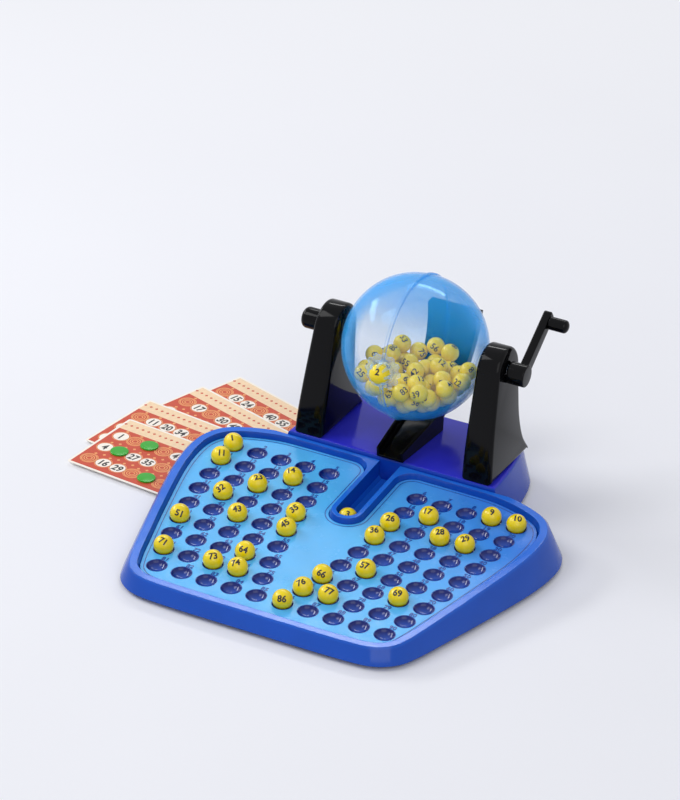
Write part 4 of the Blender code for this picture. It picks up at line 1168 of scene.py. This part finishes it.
def dress_claw():
    """Clear claw over the port: a notched flange, a collar and fingers that close round one ball."""
    seat = GLOBE_RADIUS + SEAM_LIP_HEIGHT + GAP
    collar = CLAW_BORE + CLAW_COLLAR_WALL
    middle = (collar + CLAW_FLANGE_RADIUS) / 2
    inside, between, outside = (math.sqrt(seat ** 2 - radius ** 2)
                                for radius in (CLAW_BORE, middle, CLAW_FLANGE_RADIUS))
    thick = CLAW_FLANGE_THICKNESS
    top = inside + CLAW_COLLAR_HEIGHT
    profile = ((CLAW_BORE, inside), (middle, between), (CLAW_FLANGE_RADIUS, outside),
               (CLAW_FLANGE_RADIUS, outside + thick), (middle, between + thick),
               (collar, inside + thick), (collar, top), (CLAW_BORE, top))
    body = lathe(profile, sides=96, closed=True)
    for vertex in body.vertices:
        radius = math.hypot(vertex.co.x, vertex.co.y)
        angle = math.atan2(vertex.co.y, vertex.co.x)
        notch = max(0.0, abs(math.sin(angle * CLAW_NOTCHES / 2)) - 0.5) * 2 * CLAW_NOTCH
        if radius > middle + OVERRUN:
            vertex.co.x *= 1 - notch / radius
            vertex.co.y *= 1 - notch / radius
    turns = [Matrix.Rotation(2 * math.pi * finger / CLAW_FINGERS, 4, "Z") for finger in range(CLAW_FINGERS)]
    body = united(body, *(moved(finger_mesh(top), turn=turn) for turn in turns))
    place = AT_AXLE @ port_turn()
    refine("exit_claw", body, ["claw"], "globe", smooth=35, place=place)


# Crank, handle and knob

def hub_mesh(pin, depth, face, radius, length, dome, steps, sides):
    """Turned hub with a blind bore over a pin. Its dome is (width, height) of its rounded end."""
    width, height = dome
    profile = [(0, depth), (pin + GAP, depth), (pin + GAP, face), (radius - ARM_EDGE / 2, face),
               (radius, face + ARM_EDGE / 2)]
    for step in range(HUB_DOME_POINTS):
        angle = math.pi / 2 * step / steps
        profile.append((radius - width + width * math.cos(angle), length - height + height * math.sin(angle)))
    return lathe(profile + [(0, length)], sides)


def axle_hub(radius, length, dome, sides):
    """Hub over an axle stub, with its face at the origin."""
    return hub_mesh(AXLE_RADIUS, AXLE_REACH + GAP, 0, radius, length,
                    dome=(dome, dome), steps=8, sides=sides)


def dress_knob():
    mesh = axle_hub(KNOB_RADIUS, KNOB_LENGTH, KNOB_DOME, sides=64)
    mesh = moved(mesh, (-axle_face(), 0, 0), Matrix.Rotation(-math.pi / 2, 4, "Y"))
    refine("left_knob", mesh, ["black"], "globe", smooth=35)


def arm_mesh(start):
    """The crank's flat arm with rounded edges, standing off this far from the middle."""
    half = ARM_WIDTH / 2
    corner = ARM_TIP_WIDTH / 4
    end = CRANK_RADIUS + ARM_TIP_REACH
    outline = arc((0, 0), half, 90, 270, steps=20)
    outline += arc((end - corner, -corner), corner, 270, 360, steps=8)
    outline += arc((end - corner, corner), corner, 0, 90, steps=8)
    stations = quarter_steps(ARM_EDGE, count=4)
    levels = [(inset, start + drop) for inset, drop in reversed(stations)]
    levels += [(inset, start + ARM_THICKNESS - drop) for inset, drop in stations]
    loops = [[Vector((level, point.x, point.y)) for point in offset_outline(outline, -inset)]
             for inset, level in levels]
    return moved(loft(loops), turn=Matrix.Rotation(CRANK_RISE, 4, "X"))


def dress_crank_arm():
    face = axle_face()
    start = face + ARM_STANDOFF
    hub = axle_hub(HUB_RADIUS, ARM_STANDOFF + ARM_THICKNESS + ARM_EDGE, ARM_EDGE, sides=48)
    bore = cylinder(AXLE_RADIUS + GAP, -OVERRUN, AXLE_REACH + GAP, sides=48)
    pin = cylinder(PIN_RADIUS, -ARM_THICKNESS / 2, PIN_LENGTH, sides=24)
    place = (start + ARM_THICKNESS, CRANK_RADIUS * math.cos(CRANK_RISE), CRANK_RADIUS * math.sin(CRANK_RISE))
    body = united(moved(hub, (face, 0, 0), ALONG_X), arm_mesh(start))
    body = united(cut(body, moved(bore, (face, 0, 0), ALONG_X)), moved(pin, place, ALONG_X))
    refine("crank_arm", body, ["black"], "globe", smooth=30)


def dress_handle():
    mesh = hub_mesh(PIN_RADIUS, PIN_LENGTH + GAP, GAP, HANDLE_RADIUS, HANDLE_LENGTH,
                    dome=(HANDLE_RADIUS, HANDLE_DOME), steps=9, sides=48)
    place = Matrix.Translation(HANDLE_ROOT) @ ALONG_X
    refine("crank_handle", mesh, ["black"], "handle", smooth=35, place=place)


# Balls

def ball_mesh(radius, sides):
    rings = sides // 2
    profile = [(0, -radius)]
    for step in range(1, rings):
        angle = math.pi * step / rings
        profile.append((radius * math.sin(angle), -radius * math.cos(angle)))
    return lathe(profile + [(0, radius)], sides)


def facing(across, up, turn):
    """Rotation that brings the pole to a place on the ball's disc as the camera sees it."""
    right_way, up_way, forward = camera_basis()
    depth = math.sqrt(max(LEAST_NUMBER_DEPTH, 1 - across ** 2 - up ** 2))
    normal = right_way * across + up_way * up - forward * depth
    upright = up_way * math.cos(math.radians(turn)) - right_way * math.sin(math.radians(turn))
    right = upright.cross(normal).normalized()
    return Matrix((right, normal.cross(right), normal)).transposed().to_4x4()


def dress_ball(node, number, turn, body):
    """A ball in its node's place, with its number printed where the rotation brings it."""
    low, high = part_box(node)
    centre = (low + high) / 2
    ball = moved(ball_mesh(BALL_RADIUS, sides=40), centre)
    add("number_" + node, ball, ["yellow"], body, node=node)
    flat = number_mesh(number, BALL_NUMBER_HEIGHT, PRINT_THICKNESS, BALL_NUMBER_BOLDNESS)
    figures = moved(wrapped(flat, BALL_RADIUS, BALL_NUMBER_STEP), centre, turn)
    add("figures_" + node, figures, ["ink"], body)


def dress_balls():
    for number, place in NUMBER_PLACES.items():
        node = "ball_%02d" % number
        dress_ball(node, number, facing(*place), node)
    dress_ball("claw_ball", CLAW_NUMBER, facing(*CLAW_NUMBER_PLACE), "globe")


def radical_share(index, base):
    """Evenly spread share between 0 and 1 for a counter."""
    share = 0.0
    unit = 1.0
    while index:
        unit /= base
        share += unit * (index % base)
        index //= base
    return share


def pile_centres():
    """Balls dropped one by one to the lowest free place in the globe."""
    tries = []
    for index in range(1, int(PILE_TRIES * (PILE_REACH / PILE_SPACING) ** 2)):
        radius = PILE_REACH * math.sqrt(radical_share(index, base=2))
        angle = 2 * math.pi * radical_share(index, base=3)
        tries.append(Vector((radius * math.cos(angle), radius * math.sin(angle), 0)))
    centres = []
    while len(centres) < GLOBE_BALLS:
        best = None
        for place in tries:
            height = -math.sqrt(PILE_REACH ** 2 - place.x ** 2 - place.y ** 2)
            for centre in centres:
                apart = (centre.x - place.x) ** 2 + (centre.y - place.y) ** 2
                if apart < PILE_SPACING ** 2:
                    height = max(height, centre.z + math.sqrt(PILE_SPACING ** 2 - apart))
            if best is None or height < best.z:
                best = Vector((place.x, place.y, height))
        centres.append(best)
    return centres


def dress_pile():
    """The globe's loose balls, each with a number turned some way towards the front."""
    chance = random.Random(PILE_SEED)
    shown = [CLAW_NUMBER, *NUMBER_PLACES]
    numbers = [number for number in range(1, 2 * ROWS * COLUMNS_PER_SIDE + 1) if number not in shown]
    chance.shuffle(numbers)
    ball = ball_mesh(PILE_BALL_RADIUS, sides=32)
    balls = []
    figures = []
    for centre, number in zip(pile_centres(), numbers):
        place = Matrix.Translation(AXLE + centre)
        balls.append((ball, place, 0))
        turn = facing(*(chance.uniform(low, high) for low, high in PILE_NUMBER_TURNS))
        label = number_mesh(number, BALL_NUMBER_HEIGHT, PRINT_THICKNESS)
        figures.append((wrapped(label, PILE_BALL_RADIUS, PILE_NUMBER_STEP), place @ turn, 0))
    add("globe_balls_fine", joined(balls), ["yellow"], "base", node="globe_balls")
    add("globe_balls_figures", joined(figures), ["ink"], "base")


# Cards and markers

def card_place(index):
    across, back = CARD_PLACE_SHARES[index]
    level = (len(CARD_PLACE_SHARES) - 1 - index) * (CARD_THICKNESS + CARD_GAP)
    corner = Vector((across * CARD_LENGTH - PLATE_HALF_WIDTH, back * CARD_DEPTH, level))
    turn = Matrix.Rotation(math.radians(CARD_TURNS_IN_DEGREES[index]), 4, "Z")
    return DESIGN @ Matrix.Translation(corner) @ turn


def cell_place(column, row, level):
    """Middle of a card's cell, with rows counted from the front."""
    return Vector((CARD_SIDE_MARGIN + CARD_CELL * (column + 0.5),
                   -CARD_DEPTH + CARD_MARGIN + CARD_ROW * (row + 0.5), level))


def print_parts(numbers):
    """Printed layers of one card: field, header strip, diamonds, rings, discs and figures."""
    white, red, orange, ink, cream = range(len(CARD_FINISHES))
    level = CARD_THICKNESS
    mark = PRINT_STEP * 2
    flat = Matrix.Translation((0, 0, level))
    sides = (CARD_BORDER, CARD_LENGTH - CARD_BORDER)
    head = -CARD_DEPTH + CARD_MARGIN + CARD_ROW * len(numbers)
    parts = [(flat_shape([rectangle(*sides, -CARD_DEPTH + CARD_BORDER, head)], PRINT_STEP), flat, red),
             (flat_shape([rectangle(*sides, head, -CARD_BORDER)], PRINT_STEP), flat, cream)]
    disc = flat_shape([circle((0, 0), CARD_DISC_RADIUS, sides=32)], mark)
    ring_radius = CARD_DISC_RADIUS + CARD_RING_GAP
    ring = flat_ring(ring_radius + CARD_RING_WIDTH, ring_radius, mark)
    rosette = [flat_ring(CARD_DISC_RADIUS * share, CARD_DISC_RADIUS * share - ROSETTE_LINE, mark)
               for share in ROSETTE_SHARES]
    diamond = flat_shape([circle((0, 0), CARD_DIAMOND_RADIUS, sides=4)], mark)
    for step in range(CARD_HEADER_DIAMONDS):
        across = CARD_LENGTH / CARD_HEADER_DIAMONDS * (step + 0.5)
        parts.append((diamond, Matrix.Translation((across, head * CARD_HEADER_MIDDLE_SHARE, level)), red))
    edge = Matrix.Translation((CARD_CELL / 2, CARD_ROW / 2, 0))
    rise = Matrix.Translation((0, CARD_ROW * CARD_DIAMOND_RISE_SHARE, 0))
    narrow = Matrix.Scale(CARD_NUMBER_WIDTH_SHARE, 4, (1, 0, 0))
    for row, line in enumerate(numbers):
        for column, number in enumerate(line):
            spot = Matrix.Translation(cell_place(column, len(numbers) - 1 - row, level))
            if column < len(line) - 1 and row > 0:
                parts.append((diamond, spot @ edge, orange))
            parts += [(diamond, spot @ rise, orange), (ring, spot, orange)]
            if number:
                figures = number_mesh(number, CARD_NUMBER_HEIGHT, PRINT_STEP * 3, CARD_NUMBER_BOLDNESS)
                parts += [(disc, spot, white), (figures, spot @ narrow, ink)]
            else:
                parts += [(circlet, spot, orange) for circlet in rosette]
    return parts


def dress_cards():
    """Bare paper on the cards' own nodes, and the print of each card on top."""
    for index, numbers in enumerate(CARD_NUMBERS):
        name = "card_%d" % (index + 1)
        paper_mesh = frame["nodes"][name].data
        paper_mesh.materials.clear()
        paper_mesh.materials.append(MATERIALS["card_white"])
        mesh = joined(print_parts(numbers))
        mesh.transform(card_place(index))
        add(name + "_print", mesh, CARD_FINISHES, name)


def dress_markers():
    for index, (column, row) in enumerate(MARKER_CELLS):
        name = "marker_%d" % (index + 1)
        profile = [(0, 0), (MARKER_RADIUS - MARKER_SOLE_EDGE, 0), (MARKER_RADIUS, MARKER_SOLE_EDGE)]
        for inset, drop in quarter_steps(MARKER_TOP_EDGE, count=4):
            profile.append((MARKER_RADIUS - inset, MARKER_THICKNESS - drop))
        mesh = lathe(profile + [(0, MARKER_THICKNESS)], sides=56)
        cell = cell_place(column, row, CARD_THICKNESS + CARD_GAP)
        place = card_place(0) @ Matrix.Translation(cell)
        refine(name, mesh, ["green"], name, smooth=35, place=place)


# Camera

def camera_basis():
    """Right, up and forward of the camera."""
    (cos_a, sin_a), (cos_e, sin_e), (cos_r, sin_r) = (
        (math.cos(angle), math.sin(angle)) for angle in (CAMERA_AZIMUTH, CAMERA_ELEVATION, CAMERA_ROLL))
    right = Vector((cos_a, sin_a, 0))
    forward = Vector((-sin_a * cos_e, cos_a * cos_e, -sin_e))
    up = right.cross(forward)
    return right * cos_r + up * sin_r, up * cos_r - right * sin_r, forward


def add_camera():
    right, up, forward = camera_basis()
    data = bpy.data.cameras.new("camera")
    data.sensor_width = SENSOR
    data.lens = SENSOR * FOCAL_LENGTH_IN_PIXELS / PICTURE_HEIGHT
    data.clip_end = CLIP_END
    camera = linked("camera", data)
    turn = Matrix((right, up, -forward)).transposed().to_4x4()
    camera.matrix_world = Matrix.Translation(CAMERA_AIM - forward * CAMERA_DISTANCE) @ turn
    bpy.context.scene.camera = camera


# Studio

def add_lamp(name, place, aim_height, size, watts):
    data = bpy.data.lights.new(name, "AREA")
    data.shape = "RECTANGLE"
    data.size, data.size_y = size
    data.energy = watts
    lamp = linked(name, data)
    lamp.rotation_euler = (Vector((0, 0, aim_height)) - Vector(place)).to_track_quat("-Z", "Y").to_euler()
    lamp.location = place


def seen_or_mirrored(tree):
    """1 for rays that see the background straight, mirrored or through a clear piece."""
    path = outputs(tree, "LightPath")
    seen = path["Is Camera Ray"]
    for kind in ("Is Glossy Ray", "Is Transmission Ray"):
        seen = worked(tree, "MAXIMUM", seen, path[kind])
    return seen


def floor_finish():
    """Pale floor that fades into the backdrop's tone away from the object."""
    made, tree, shader = new_material("floor", FLOOR, roughness=0.9)
    base = mottled(tree, linear(FLOOR), spread=0.01, scale=3)
    fill(tree, shader, {"Specular IOR Level": 0, "Base Color": base})
    reach = outputs(tree, "VectorMath", {0: outputs(tree, "TexCoord")["Object"]}, operation="LENGTH")["Value"]
    share = worked(tree, "MULTIPLY", ranged(tree, reach, FADE_FROM, FADE_TO), seen_or_mirrored(tree))
    glow = outputs(tree, "Emission", {"Color": linear(FLOOR), "Strength": BACKDROP_LIGHT})["Emission"]
    mix = outputs(tree, "MixShader", {"Fac": share, 1: shader.outputs["BSDF"], 2: glow})["Shader"]
    fill(tree, tree.nodes["Material Output"], {"Surface": mix})
    return made


def add_world():
    """Plain light all round, which shows as a pale backdrop where it is seen or mirrored."""
    world = bpy.data.worlds.new("studio")
    world.use_nodes = True
    tree = world.node_tree
    strength = ranged(tree, seen_or_mirrored(tree), 0, 1, WORLD_LIGHT, BACKDROP_LIGHT)
    fill(tree, tree.nodes["Background"], {"Color": linear(FLOOR), "Strength": strength})
    bpy.context.scene.world = world


def add_floor():
    mesh = bpy.data.meshes.new("floor")
    corners = [(x, y, 0) for x, y in rectangle(-FLOOR_REACH, FLOOR_REACH, -FLOOR_REACH, FLOOR_REACH)]
    mesh.from_pydata(corners, [], [(0, 1, 2, 3)])
    mesh.materials.append(floor_finish())
    floor = linked("floor", mesh)
    floor.location = (0, 0, -FLOOR_DROP)


def add_studio():
    add_floor()
    add_world()
    for name, lamp in LAMPS.items():
        add_lamp(name, *lamp)
    bpy.context.scene.view_settings.view_transform = "Standard"


add_camera()
add_studio()
dress_tray()
dress_board()
dress_stand_base()
dress_uprights()
dress_chute()
dress_globe()
dress_claw()
dress_knob()
dress_crank_arm()
dress_handle()
dress_balls()
dress_pile()
dress_cards()
dress_markers()
